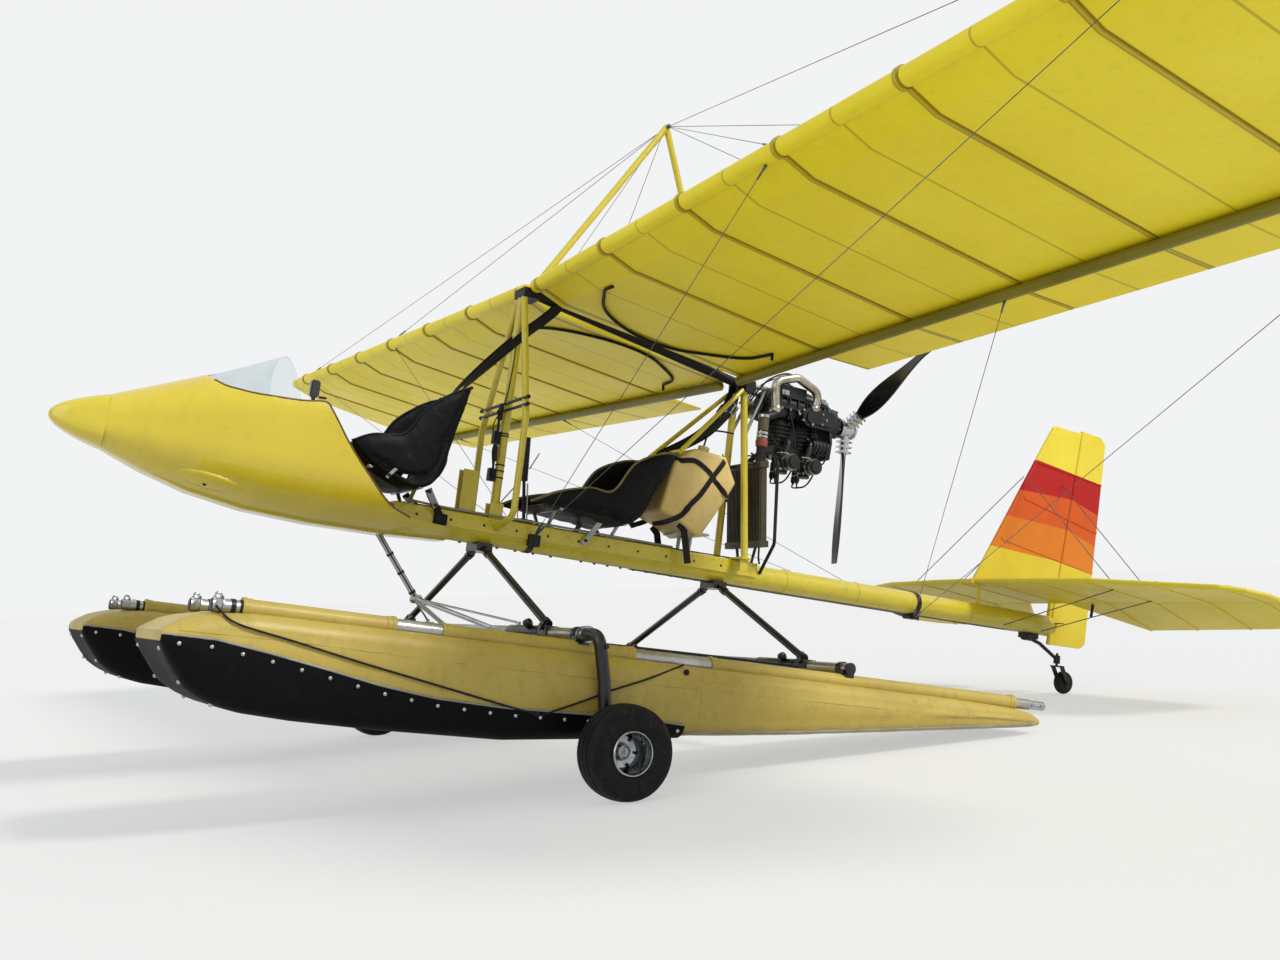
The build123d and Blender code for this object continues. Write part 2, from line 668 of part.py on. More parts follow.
# main wheels, drawn about X and moved to the axle
with BuildPart() as tyre_left:
    with BuildSketch(Plane.XY):
        with BuildLine():
            Line((-52, RIM_R), (52, RIM_R))
            Line((52, RIM_R), (66, RIM_R + 18))
            ThreePointArc((66, RIM_R + 18), (TYRE_HALF, RIM_R + 48), (60, WHEEL_R - 14))
            ThreePointArc((60, WHEEL_R - 14), (0, WHEEL_R), (-60, WHEEL_R - 14))
            ThreePointArc((-60, WHEEL_R - 14), (-TYRE_HALF, RIM_R + 48), (-66, RIM_R + 18))
            Line((-66, RIM_R + 18), (-52, RIM_R))
        make_face()
    revolve(axis=Axis.X)
with BuildPart() as rim_left:
    with BuildSketch(Plane.XY):
        with BuildLine():
            Polyline((-52, RIM_R), (-58, RIM_R), (-58, RIM_R - 8), (-44, RIM_R - 10), (-40, 62), (-10, 52),
                     (-10, 30), (-44, 26), (-44, AXLE_R + FIT), (50, AXLE_R + FIT), (50, 26), (8, 30), (8, 52),
                     (40, 64), (44, RIM_R - 10), (58, RIM_R - 8), (58, RIM_R), (-52, RIM_R), close=False)
        make_face()
    revolve(axis=Axis.X)


def on_axle(piece):
    return Pos(TRACK_X, WHEEL_Y, WHEEL_Z) * piece


# seats: fabric buckets over brackets
SEAT_T = 14.0
SEAT_HALF = 215.0
SEATS = {
    # name: side outline of the sling, (y, z) from the front lip to the top of the back
    "front_seat": [(-850, 1330), (-770, 1262), (-640, 1204), (-510, 1200), (-430, 1290), (-345, 1700)],
    "rear_seat": [(130, 1226), (400, 1214), (556, 1200), (636, 1268), SEAT_TOP],
}
WINGS = {
    "front_seat": [(-870, 1341), (-777, 1390), (-619, 1426), (-556, 1549), (-400, 1672), (-337, 1700),
                   (-326, 1672), (-404, 1329), (-459, 1236), (-510, 1184), (-640, 1184), (-790, 1240)],
    "rear_seat": [(8, 1216), (150, 1290), (314, 1338), (441, 1340), (549, 1513), (697, 1581), SEAT_TOP,
                  (643, 1262), (592, 1177), (481, 1155), (170, 1150)],
}


def seat(name):
    path = SEATS[name]
    with BuildPart() as body:
        with BuildSketch(Plane.YZ.offset(-SEAT_HALF)):
            with BuildLine():
                line = Polyline(*path)
                offset(line, amount=SEAT_T / 2, side=Side.BOTH)
            make_face()
        extrude(amount=2 * SEAT_HALF)
        for x in (-SEAT_HALF, SEAT_HALF - SEAT_T):
            with BuildSketch(Plane.YZ.offset(x)):
                with BuildLine():
                    Polyline(*WINGS[name], close=True)
                make_face()
            extrude(amount=SEAT_T)
    return body


front_seat = seat("front_seat")
rear_seat = seat("rear_seat")

# harness straps from the seat backs to the root tube


def root_z(y):
    """Height of the root tube's axis."""
    return ROOT_FRONT[2] + (y - ROOT_FRONT[1]) * (ROOT_REAR[2] - ROOT_FRONT[2]) / (ROOT_REAR[1] - ROOT_FRONT[1])


BELTS = [
    # x, y, z on the seat back, x and y on the root tube
    (58.0, -332.0, 1712.0, 34.0, 128.0),
    (46.0, SEAT_TOP[0] + 8, SEAT_TOP[1] + 10, 18.0, 1212.0),
]
BELT_W = 46.0
with BuildPart() as harness:
    for x0, y0, z0, x1, y1 in BELTS:
        z1 = root_z(y1) - ROOT_TUBE_R + 4
        for s in (-1, 1):
            with BuildSketch(Plane(origin=(x0 * s, y0, z0), x_dir=(1, 0, 0),
                                   z_dir=((x1 - x0) * s, y1 - y0, z1 - z0))) as belt:
                Rectangle(BELT_W, 3)
            extrude(belt.sketch, amount=math.dist((x0, y0, z0), (x1, y1, z1)))
    less(root_tube, front_seat, rear_seat, rear_posts, front_posts)

# control sticks, and the levers on the mast
STICKS = [
    # y at the foot, y at the grip, foot, grip's low end, grip's high end
    (88.0, 62.0, TRAY_TOP, 1340.0, 1552.0),
    (-930.0, -958.0, 1112.0, 1390.0, 1500.0),
]
with BuildPart() as cockpit_controls:
    for y0, y1, foot, low, high in STICKS:
        rod((0, y0, foot), (0, y1, low), 8)
        rod((0, y1, low), (0, y1 - 10, high), 17)
    with Locations((0, 88, TRAY_TOP + 12)):
        Box(60, 70, 24)
    for z in (1520.0, 1340.0):
        with Locations((0, POST_FRONT_Y - MAST_R - 14, z)):
            Box(34, 34, 60)
        rod((30, POST_FRONT_Y - MAST_R - 14, z), (-30, POST_FRONT_Y - MAST_R - 14, z), 9)
        rod((24, POST_FRONT_Y - MAST_R - 20, z), (34, POST_FRONT_Y - MAST_R - 26, z + 110), 6)
        with Locations((35, POST_FRONT_Y - MAST_R - 27, z + 118)):
            Sphere(15)
    less(front_posts, rudder_pedals, cockpit_tray)

# fuel tank, a six-sided can on its side
with BuildPart() as fuel_tank:
    with BuildSketch(Plane.YZ.offset(-150)):
        with BuildLine():
            Polyline((806, 1560), (930, 1650), (1119, 1640), (1192, 1512), (1148, 1427), (1006, 1200),
                     (873, 1262), (752, 1300), close=True)
        make_face()
    extrude(amount=300)
    fillet(fuel_tank.edges(), 18)
    rod((70, 1010, 1630), (70, 1022, 1672), 26)
    rod((70, 1020, 1664), (70, 1023, 1680), 30)
    less(rear_posts, rear_seat)

# seat brackets and the tank's cradle on the tray
BRACKETS = [
    # y, top z
    (-760.0, 1252.0),
    (-520.0, 1196.0),
    (190.0, 1216.0),
    (540.0, 1196.0),
]
with BuildPart() as seat_brackets:
    for y, top in BRACKETS:
        with Locations((0, y, TRAY_TOP + 3)):
            Box(2 * TRAY_HALF - 24, 50, 6)
        for s in (-1, 1):
            rod((50 * s, y, TRAY_TOP), (120 * s, y, top), 9)
        rod((-190, y, top), (190, y, top), 11)
    for s in (-1, 1):
        rod((55 * s, 1000, TRAY_TOP), (55 * s, 1010, 1260), 10)
    with Locations((0, 1010, 1222)):
        Box(260, 120, 12)
    less(fuel_tank, front_seat, rear_seat, boom_solid, cockpit_tray, nose_pod)

# radiator with upright fins, leaning like the posts
FIN_COUNT = 24
lean = math.radians(RAD_LEAN)
radiator_plane = Plane(origin=(0, RAD_Y, RAD_Z), x_dir=(1, 0, 0), z_dir=(0, -math.sin(lean), math.cos(lean)))
RAD_HIGH = RAD_Z + RAD_TALL / 2
RAD_LOW = RAD_Z - RAD_TALL / 2
RAD_TOP_Y = RAD_Y - RAD_TALL / 2 * math.tan(lean)
RAD_FOOT_Y = RAD_Y + RAD_TALL / 2 * math.tan(lean)
with BuildPart() as radiator:
    with Locations(radiator_plane):
        Box(RAD_W, RAD_T, RAD_TALL)
        with GridLocations(RAD_W / FIN_COUNT, 1, FIN_COUNT, 1):
            Box(5, RAD_T + 16, RAD_TALL - 50)
        for z in (-1, 1):
            with Locations((0, 0, z * (RAD_TALL / 2 - 12))):
                Box(RAD_W + 16, RAD_T + 24, 34)
    for s in (-1, 1):
        rod((60 * s, RAD_FOOT_Y, TRAY_TOP), (90 * s, RAD_FOOT_Y, RAD_LOW + 12), 8)
        rod((78 * s, 1272, RAD_HIGH - 12), (100 * s, RAD_TOP_Y, RAD_HIGH - 12), 8)
    less(rear_posts, cockpit_tray)

# engine rails behind the root bracket
ENGINE_REAR = ENGINE_FRONT + CASE_LEN
with BuildPart() as engine_bed:
    for s in (-1, 1):
        rod((RAIL_X * s, 1290, HANG_Z), (RAIL_X * s, ENGINE_REAR + 14, HANG_Z), RAIL_R)
        rod((74 * s, 1270, 1800), (RAIL_X * s, 1378, HANG_Z - 6), 9)
    for y in (ENGINE_FRONT + 46, ENGINE_REAR - 46):
        rod((-112, y, HANG_Z), (112, y, HANG_Z), 11)
        for s in (-1, 1):
            with Locations((92 * s, y, HANG_Z)):
                Box(30, 44, 26)
    less(rear_posts, root_tube)

# two-cylinder engine upside down: crankcase on top, the heads and plugs lowest
CYL_Y = (ENGINE_FRONT + 88, ENGINE_FRONT + 236)
BORE_R = 58.0
JACKET_RIBS = 6
CASE_RIBS = 6
BOLTS = 6
with BuildPart() as engine_block:
    with BuildSketch(Plane.XZ.offset(-ENGINE_FRONT)):
        with Locations((0, CRANK_Z)):
            RectangleRounded(184, CASE_H, 40)
    extrude(amount=-CASE_LEN)
    for k in range(CASE_RIBS):
        with Locations((0, ENGINE_FRONT + 26 + k * (CASE_LEN - 52) / (CASE_RIBS - 1), CRANK_Z - 6)):
            Box(200, 9, CASE_H - 14)
    with Locations((0, ENGINE_FRONT + CASE_LEN / 2, CRANK_Z)):
        Box(212, CASE_LEN - 10, 14)
    with Locations((52, ENGINE_FRONT + 108, CRANK_Z + CASE_H / 2 + 24)):
        Box(86, 170, 66)
    rod((52, ENGINE_FRONT + 20, CRANK_Z + CASE_H / 2 + 30), (52, ENGINE_FRONT + 196, CRANK_Z + CASE_H / 2 + 30), 40)
    for y in CYL_Y:
        rod((0, y, HEAD_Z + 30), (0, y, CRANK_Z), BORE_R)
        for k in range(JACKET_RIBS):
            z = HEAD_Z + 62 + 22 * k
            rod((0, y, z), (0, y, z + 8), BORE_R + 14)
        for k in range(BOLTS):
            a = math.radians(60 * k + 30)
            x, v = 50 * math.cos(a), y + 50 * math.sin(a)
            rod((x, v, HEAD_Z - 12), (x, v, HEAD_Z + 4), 8)
        for s in (-1, 1):
            rod((17 * s, y, HEAD_Z - 30), (17 * s, y, HEAD_Z + 4), 8)
            rod((17 * s, y, HEAD_Z - 72), (17 * s, y, HEAD_Z - 28), 12)
    with Locations((0, sum(CYL_Y) / 2, HEAD_Z + 26)):
        Box(148, 292, 52)
    with Locations((0, sum(CYL_Y) / 2, HEAD_Z + 110)):
        Box(88, 210, 120)
    rod((0, ENGINE_FRONT - 34, CRANK_Z), (0, ENGINE_FRONT, CRANK_Z), 86)
    rod((0, ENGINE_FRONT - 48, CRANK_Z), (0, ENGINE_FRONT, CRANK_Z), 36)
    for k in range(12):
        a = math.radians(30 * k)
        x, z = 61 * math.cos(a), CRANK_Z + 61 * math.sin(a)
        rod((x, ENGINE_FRONT - 35, z), (x, ENGINE_FRONT - 20, z), 8, Mode.SUBTRACT)
    with BuildSketch(Plane.YZ.offset(80)):
        with Locations(((CYL_Y[0] + ENGINE_REAR) / 2 + 48, CRANK_Z - 34)):
            RectangleRounded(230, 104, 48)
    extrude(amount=62)
    with BuildSketch(Plane.YZ.offset(138)):
        with Locations(((CYL_Y[0] + ENGINE_REAR) / 2 + 48, CRANK_Z - 34)):
            RectangleRounded(186, 66, 30)
    extrude(amount=14)
    rod((104, ENGINE_REAR - 110, HEAD_Z + 84), (104, ENGINE_REAR, HEAD_Z + 84), 42)
    rod((104, ENGINE_REAR - 124, HEAD_Z + 84), (104, ENGINE_REAR - 110, HEAD_Z + 84), 30)
    for k in range(4):
        y = ENGINE_REAR - 96 + 24 * k
        rod((104, y, HEAD_Z + 84), (104, y + 7, HEAD_Z + 84), 46)
    less(engine_bed)

# reduction gearbox with its round cover
GEAR_REAR = ENGINE_REAR + 96
with BuildPart() as gearbox:
    with BuildSketch(Plane.XZ.offset(-ENGINE_REAR)):
        with BuildLine():
            Polyline((-70, HEAD_Z + 20), (130, HEAD_Z + 24), (142, HEAD_Z + 120), (92, CRANK_Z + 58),
                     (-92, CRANK_Z + 58), (-92, HEAD_Z + 120), close=True)
        make_face()
    extrude(amount=-14)
    rod((0, ENGINE_REAR, PROP_Z), (0, GEAR_REAR - 10, PROP_Z), 94)
    rod((0, GEAR_REAR - 10, PROP_Z), (0, GEAR_REAR, PROP_Z), 84)
    rod((0, ENGINE_REAR, PROP_Z - 120), (0, GEAR_REAR - 30, PROP_Z - 120), 56)
    with Locations((0, ENGINE_REAR + 33, PROP_Z - 70)):
        Box(110, 66, 110)
    rod((0, GEAR_REAR, PROP_Z), (0, GEAR_REAR + 22, PROP_Z), 52)
    rod((0, GEAR_REAR + 20, PROP_Z), (0, PROP_Y - 58 - GAP, PROP_Z), 40)
    for k in range(10):
        a = math.radians(36 * k + 18)
        x, z = 88 * math.cos(a), PROP_Z + 88 * math.sin(a)
        rod((x, ENGINE_REAR + 60, z), (x, GEAR_REAR + 4, z), 8)
    for k in range(5):
        a = math.radians(72 * k + 90)
        with BuildSketch(Plane(origin=(0, GEAR_REAR, PROP_Z), x_dir=(math.cos(a), 0, math.sin(a)),
                               z_dir=(0, 1, 0))) as web:
            with Locations((65, 0)):
                Rectangle(40, 8)
        extrude(web.sketch, amount=14)
    rod((0, ENGINE_REAR - 10, PROP_Z), (0, PROP_Y, PROP_Z), 15 + FIT, Mode.SUBTRACT)
    less(engine_block, engine_bed)

# exhaust: the bright pipe over the crankcase, stubs and the silencer on the far side
with BuildPart() as exhaust:
    pipe([(120, ENGINE_FRONT - 20, CRANK_Z - 30), (120, ENGINE_FRONT - 42, CRANK_Z + 120),
          (120, ENGINE_FRONT + 105, CRANK_Z + 170), (120, ENGINE_FRONT + 258, CRANK_Z + 112),
          (120, ENGINE_FRONT + 236, CRANK_Z + 20)], 24, 56)
    for y, z in ((ENGINE_FRONT - 20, CRANK_Z - 30), (ENGINE_FRONT + 236, CRANK_Z + 20)):
        with Locations((120, y, z)):
            Sphere(29)
    rod((82, ENGINE_FRONT - 16, CRANK_Z - 30), (120, ENGINE_FRONT - 20, CRANK_Z - 30), 20)
    for y in CYL_Y:
        pipe([(-50, y, HEAD_Z + 130), (-150, y, HEAD_Z + 130), (-150, y + 10, CRANK_Z - 20)], 19, 50)
    rod((-150, ENGINE_FRONT - 20, CRANK_Z + 10), (-150, ENGINE_REAR - 30, CRANK_Z + 10), 54)
    rod((-150, ENGINE_FRONT - 40, CRANK_Z + 10), (-150, ENGINE_FRONT - 20, CRANK_Z + 10), 34)
    rod((-150, ENGINE_REAR - 30, CRANK_Z + 10), (-150, ENGINE_REAR + 40, CRANK_Z + 2), 18)
    less(engine_block, engine_bed, gearbox)

# two carburettors under the near side, each with its elbow, bowl and drum filter
CARB_X = 118.0
with BuildPart() as carburettors:
    for y in CYL_Y:
        v = y - 34
        pipe([(50, y, HEAD_Z + 88), (CARB_X, y, HEAD_Z + 88), (CARB_X, v, HEAD_Z - 16)], 18, 34)
        rod((CARB_X, v, HEAD_Z - 70), (CARB_X, v, HEAD_Z - 6), 27)
        rod((CARB_X, v, HEAD_Z - 14), (CARB_X, v, HEAD_Z - 2), 33)
        rod((CARB_X, v, HEAD_Z - 104), (CARB_X, v, HEAD_Z - 68), 31)
        rod((CARB_X + 20, v, HEAD_Z - 50), (CARB_X + 52, v, HEAD_Z - 50), 22)
        rod((CARB_X + 50, v, HEAD_Z - 50), (CARB_X + 104, v, HEAD_Z - 50), 41)
        rod((CARB_X + 104, v, HEAD_Z - 50), (CARB_X + 110, v, HEAD_Z - 50), 30)
    less(engine_block)

# hoses: the fat elbow to the radiator's head tank, its return, and the long drain beside it
with BuildPart() as coolant_hoses:
    pipe([(118, RAD_TOP_Y, RAD_HIGH), (118, RAD_TOP_Y, CRANK_Z - 92), (118, ENGINE_FRONT - 30, CRANK_Z - 66),
          (90, ENGINE_FRONT + 2, CRANK_Z - 50)], 25, 30)
    pipe([(-RAD_W / 2 - 6, RAD_FOOT_Y, RAD_LOW + 14), (-RAD_W / 2 - 40, RAD_FOOT_Y + 30, RAD_LOW + 60),
          (-RAD_W / 2 - 40, ENGINE_FRONT, HEAD_Z - 60), (-70, ENGINE_FRONT + 30, HEAD_Z + 20)], 15, 40)
    pipe([(70, ENGINE_FRONT + 20, HEAD_Z + 10), (RAD_W / 2 + 24, RAD_Y + 50, HEAD_Z - 60),
          (RAD_W / 2 + 24, RAD_Y + 75, RAD_LOW + 20), (60, RAD_Y + 82, TRAY_TOP - 50)], 9, 50)
    less(radiator, engine_block, engine_bed, rear_posts, carburettors, exhaust, boom_solid, cockpit_tray)

# propeller: hub, clamps and three blades about Y
SOCKET_LEN = 140.0
BLADES = [
    # radius, chord, thickness, pitch in degrees
    (SOCKET_LEN, 56.0, 28.0, 36.0),
    (190.0, 84.0, 20.0, 31.0),
    (420.0, 92.0, 13.0, 21.0),
    (PROP_R, 58.0, 6.0, 12.0),
]
SOCKET_COLLARS = (62.0, 92.0, 122.0)
with BuildPart() as blade:
    for r, chord, thick, pitch in BLADES:
        with BuildSketch(Plane(origin=(0, 0, r), x_dir=(math.cos(math.radians(pitch)),
                                                       math.sin(math.radians(pitch)), 0), z_dir=(0, 0, 1))):
            RectangleRounded(chord, thick, thick * 0.45)
    loft()
with BuildPart() as prop_hub:
    rod((0, -34, 0), (0, 34, 0), HUB_R)
    rod((0, -58, 0), (0, -34, 0), 56)
    rod((0, 34, 0), (0, 46, 0), 50)
    rod((0, 46, 0), (0, 62, 0), 26)
    rod((0, -150, 0), (0, -40, 0), 15)
    for k in range(6):
        a = math.radians(60 * k)
        rod((38 * math.cos(a), 44, 38 * math.sin(a)), (38 * math.cos(a), 54, 38 * math.sin(a)), 6)
    for k in range(3):
        a = math.radians(270 + 120 * k)
        out = (math.cos(a), math.sin(a))
        rod((0, 0, 0), (SOCKET_LEN * out[0], 0, SOCKET_LEN * out[1]), 24)
        for near in SOCKET_COLLARS:
            far = near + 16
            rod((near * out[0], 0, near * out[1]), (far * out[0], 0, far * out[1]), 31)
            mid = near + 8
            for y in (-32, 32):
                rod(((mid * out[0]) - 26 * out[1], y, mid * out[1] + 26 * out[0]),
                    ((mid * out[0]) + 26 * out[1], y, mid * out[1] - 26 * out[0]), 6)
with BuildPart() as prop_blades:
    for k in range(3):
        add(Rot(0, 120 * k + 180, 0) * blade.part)


def on_shaft(piece):
    return Pos(0, PROP_Y, PROP_Z) * piece


# tail surfaces
slope = (HINGE_HEAD_Y - HINGE_FOOT_Y) / (HINGE_HEAD_Z - HINGE_FOOT_Z)


def hinge_y(z):
    return HINGE_FOOT_Y + slope * (z - HINGE_FOOT_Z)


FIN_T = 24.0
RUDDER_NOSE = 14.0
FIN_LOW = 1240.0
FIN_HIGH = 2320.0
FIN_EDGE = [(3045.0, FIN_LOW), (3560.0, 2140.0), (3660.0, 2306.0), (3700.0, FIN_HIGH)]
RUDDER_EDGE = [(hinge_y(HINGE_HEAD_Z), HINGE_HEAD_Z), (4080.0, 2326.0), (4125.0, 2285.0), (4028.0, 985.0),
               (3990.0, 955.0), (hinge_y(952), 952.0)]
FIN_RIBS = [
    # y and z of one end, y and z of the other, carried on into the rudder
    (3250.0, 1546.0, 4090.0, 1440.0),
    (3420.0, 1826.0, 4110.0, 1700.0),
    (3500.0, 2070.0, 4130.0, 2020.0),
]


def fin_rib(y0, z0, y1, z1):
    """A strip as wide as a tail rib between two points of the open sketch."""
    long = math.sqrt((y1 - y0) ** 2 + (z1 - z0) ** 2)
    with Locations(Location(((y0 + y1) / 2, (z0 + z1) / 2, 0), (0, 0, math.degrees(math.atan2(z1 - z0, y1 - y0))))):
        Rectangle(long, TAIL_RIB_W)


with BuildPart() as fin:
    for t in (FIN_T / 2, FIN_T / 2 + TAIL_RIB_H):
        with BuildSketch(Plane.YZ.offset(-t)):
            if t > FIN_T / 2:
                for rib in FIN_RIBS:
                    fin_rib(*rib)
            with BuildLine():
                Polyline(*FIN_EDGE, (hinge_y(FIN_HIGH) - RUDDER_GAP, FIN_HIGH),
                         (hinge_y(FIN_LOW) - RUDDER_GAP, FIN_LOW), close=True)
            make_face(mode=Mode.INTERSECT if t > FIN_T / 2 else Mode.ADD)
        extrude(amount=2 * t)
    bent([(0, *p) for p in FIN_EDGE], EDGE_R)
    rod((0, hinge_y(1128) - 40, BOOM_Z), (0, hinge_y(1300) - 40, 1300), 15)
    rod((0, 3100, BOOM_Z), (0, 3100, 1260), 11)
    less(boom_solid)
with BuildPart() as rudder:
    for t in (FIN_T / 2, FIN_T / 2 + TAIL_RIB_H):
        with BuildSketch(Plane.YZ.offset(-t)):
            if t > FIN_T / 2:
                for rib in FIN_RIBS:
                    fin_rib(*rib)
            with BuildLine():
                Polyline(*RUDDER_EDGE, close=True)
            make_face(mode=Mode.INTERSECT if t > FIN_T / 2 else Mode.ADD)
        extrude(amount=2 * t)
    rod((0, hinge_y(952), 952), (0, hinge_y(HINGE_HEAD_Z), HINGE_HEAD_Z), RUDDER_NOSE)

STAB_EDGE = [(0.0, 3060.0), (300.0, 3070.0), (808.0, 3117.0), (1160.0, 3240.0), (1440.0, 3335.0),
             (1525.0, 3430.0), (STAB_HALF_SPAN, 3570.0), (STAB_HALF_SPAN - 10, STAB_HINGE_Y - 36)]
ELEVATOR_EDGE = [(150.0, STAB_HINGE_Y), (440.0, 4110.0), (800.0, 4085.0), (1300.0, 4050.0), (1480.0, 4000.0),
                 (STAB_HALF_SPAN, 3890.0), (STAB_HALF_SPAN, STAB_HINGE_Y)]
with BuildPart() as stab_flat:
    for t in (STAB_T / 2, STAB_T / 2 + TAIL_RIB_H):
        with BuildSketch(Plane.XY.offset(-t)):
            if t > STAB_T / 2:
                for x in TAIL_RIBS:
                    with Locations((x, STAB_HINGE_Y)):
                        Rectangle(TAIL_RIB_W, 2 * STAB_HALF_SPAN)
            with BuildLine():
                Polyline(*STAB_EDGE[:-1], (STAB_HALF_SPAN, STAB_HINGE_Y - 22), (0, STAB_HINGE_Y - 22), close=True)
            make_face(mode=Mode.INTERSECT if t > STAB_T / 2 else Mode.ADD)
        extrude(amount=2 * t)
    bent([(*p, 0) for p in STAB_EDGE], EDGE_R)
with BuildPart() as elevator_flat:
    for t in (STAB_T / 2, STAB_T / 2 + TAIL_RIB_H):
        with BuildSketch(Plane.XY.offset(-t)):
            if t > STAB_T / 2:
                for x in TAIL_RIBS:
                    with Locations((x, STAB_HINGE_Y)):
                        Rectangle(TAIL_RIB_W, 2 * STAB_HALF_SPAN)
            with BuildLine():
                Polyline(*ELEVATOR_EDGE, close=True)
            make_face(mode=Mode.INTERSECT if t > STAB_T / 2 else Mode.ADD)
        extrude(amount=2 * t)
    rod((0, STAB_HINGE_Y, 0), (STAB_HALF_SPAN, STAB_HINGE_Y, 0), 13)


def stab_place(piece):
    """Sets a flat tail piece at its height and slope about the elevator hinge."""
    return Pos(0, STAB_HINGE_Y, STAB_Z) * Rot(-STAB_TILT, 0, 0) * Pos(0, -STAB_HINGE_Y, 0) * piece


with BuildPart() as stabiliser:
    add(stab_place(stab_flat.part))
    add(stab_place(mirrored(stab_flat.part)))
    less(fin)
with BuildPart() as elevator:
    droop = Pos(0, STAB_HINGE_Y, 0) * Rot(-ELEVATOR_DROOP, 0, 0) * Pos(0, -STAB_HINGE_Y, 0)
    add(stab_place(droop * elevator_flat.part))
    add(stab_place(droop * mirrored(elevator_flat.part)))

BRACE_X = 820.0
with BuildPart() as tail_braces:
    for s in (-1, 1):
        for y in (3300.0, 3620.0):
            z = STAB_Z + (STAB_HINGE_Y - y) * math.tan(math.radians(STAB_TILT))
            rod((BRACE_X * s, y, z + 12), (10 * s, y + 130, 1960), 2.5)
            rod((BRACE_X * s, y, z - 12), (40 * s, y - 20, BOOM_Z - 44), 3.0)
    less(fin, stabiliser, boom_solid)

# tail wheel: spring strut from the boom, then a fork that swivels
FORK_PIVOT = (0, 3800.0, 842.0)
with BuildPart() as tail_spring:
    rod((0, 3500, BOOM_Z - BOOM_R - 14), (0, 3560, BOOM_Z - BOOM_R - 14), 30)
    with Locations((0, 3540, BOOM_Z - BOOM_R - 10)):
        Box(52, 120, 40)
    bent([(0, 3520, BOOM_Z - BOOM_R - 20), (0, 3640, BOOM_Z - BOOM_R - 50), (0, 3800, 868)], 11)
    rod((0, 3800, 842), (0, 3800, 892), 20)
    rod((0, 3800, 800), (0, 3800, 900), 8 + FIT, Mode.SUBTRACT)
    less(boom_solid)
with BuildPart() as tail_fork:
    rod((0, 3800, 824), (0, 3800, 906), 8)
    with Locations((0, 3806, 826)):
        Box(76, 40, 8)
    for s in (-1, 1):
        with BuildSketch(Plane.YZ.offset(34 * s - 3)):
            with BuildLine():
                Polyline((3788, 828), (3826, 828), (TAIL_WHEEL_Y + 14, TAIL_WHEEL_Z),
                         (TAIL_WHEEL_Y, TAIL_WHEEL_Z - 14), (TAIL_WHEEL_Y - 14, TAIL_WHEEL_Z - 6), close=True)
            make_face()
        extrude(amount=6)
    rod((-40, TAIL_WHEEL_Y, TAIL_WHEEL_Z), (40, TAIL_WHEEL_Y, TAIL_WHEEL_Z), 6)
with BuildPart() as tail_wheel:
    with BuildSketch(Plane.XY):
        with BuildLine():
            Polyline((-25, 6 + FIT), (25, 6 + FIT), (25, TAIL_WHEEL_R - 14))
            ThreePointArc((25, TAIL_WHEEL_R - 14), (0, TAIL_WHEEL_R), (-25, TAIL_WHEEL_R - 14))
            Line((-25, TAIL_WHEEL_R - 14), (-25, 6 + FIT))
        make_face()
    revolve(axis=Axis.X)

PIECES = {
    "main_boom": main_boom.part,
    "cockpit_tray": cockpit_tray.part,
    "nose_pod": nose_pod.part,
    "windscreen": windscreen.part,
    "instrument_panel": instrument_panel.part,
    "rudder_pedals": rudder_pedals.part,
    "front_posts": front_posts.part,
    "root_tube": root_tube.part,
    "rear_posts": rear_posts.part,
    "king_post": king_post.part,
    "wing_left": wing_left.part,
    "wing_right": mirrored(wing_left.part),
    "rear_spar_left": spar_left.part,
    "rear_spar_right": mirrored(spar_left.part),
    "trailing_strip_left": strip_left.part,
    "trailing_strip_right": mirrored(strip_left.part),
    "aileron_left": aileron_left.part,
    "aileron_right": mirrored(aileron_left.part),
    "wire_anchors": anchors.part,
    "flying_wires": flying_wires.part,
    "landing_wires": landing_wires.part,
    "float_left": float_left.part,
    "float_right": mirrored(float_left.part),
    "keel_guard_left": guard_left.part,
    "keel_guard_right": mirrored(guard_left.part),
    "float_struts": float_struts.part,
    "gear_leg_left": gear_leg_left.part,
    "gear_leg_right": mirrored(gear_leg_left.part),
    "tyre_left": on_axle(tyre_left.part),
    "tyre_right": mirrored(on_axle(tyre_left.part)),
    "rim_left": on_axle(rim_left.part),
    "rim_right": mirrored(on_axle(rim_left.part)),
    "front_seat": front_seat.part,
    "rear_seat": rear_seat.part,
    "seat_brackets": seat_brackets.part,
    "harness_straps": harness.part,
    "cockpit_controls": cockpit_controls.part,
    "fuel_tank": fuel_tank.part,
    "radiator": radiator.part,
    "engine_bed": engine_bed.part,
    "engine_block": engine_block.part,
    "gearbox": gearbox.part,
    "exhaust": exhaust.part,
    "carburettors": carburettors.part,
    "coolant_hoses": coolant_hoses.part,
    "prop_hub": on_shaft(prop_hub.part),
    "prop_blades": on_shaft(prop_blades.part),
    "fin": fin.part,
    "rudder": rudder.part,
    "stabiliser": stabiliser.part,
    "elevator": elevator.part,
    "tail_braces": tail_braces.part,
    "tail_spring": tail_spring.part,
    "tail_fork": tail_fork.part,
    "tail_wheel": Pos(0, TAIL_WHEEL_Y, TAIL_WHEEL_Z) * tail_wheel.part,
}
with BuildPart() as float_frame:
    add(float_tubes_half.part)
    add(mirrored(float_tubes_half.part))
    add(cross_beams.part)
    add(nose_truss.part)
PIECES["float_frame"] = float_frame.part
with BuildPart() as tube_sleeves:
    for half in (sleeves_left, collars_half):
        add(half.part)
        add(mirrored(half.part))
PIECES["tube_sleeves"] = tube_sleeves.part

for label, shape in PIECES.items():
    finish(shape, label)
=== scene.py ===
import json
import math

import bmesh
import bpy
from mathutils import Matrix, Vector, noise


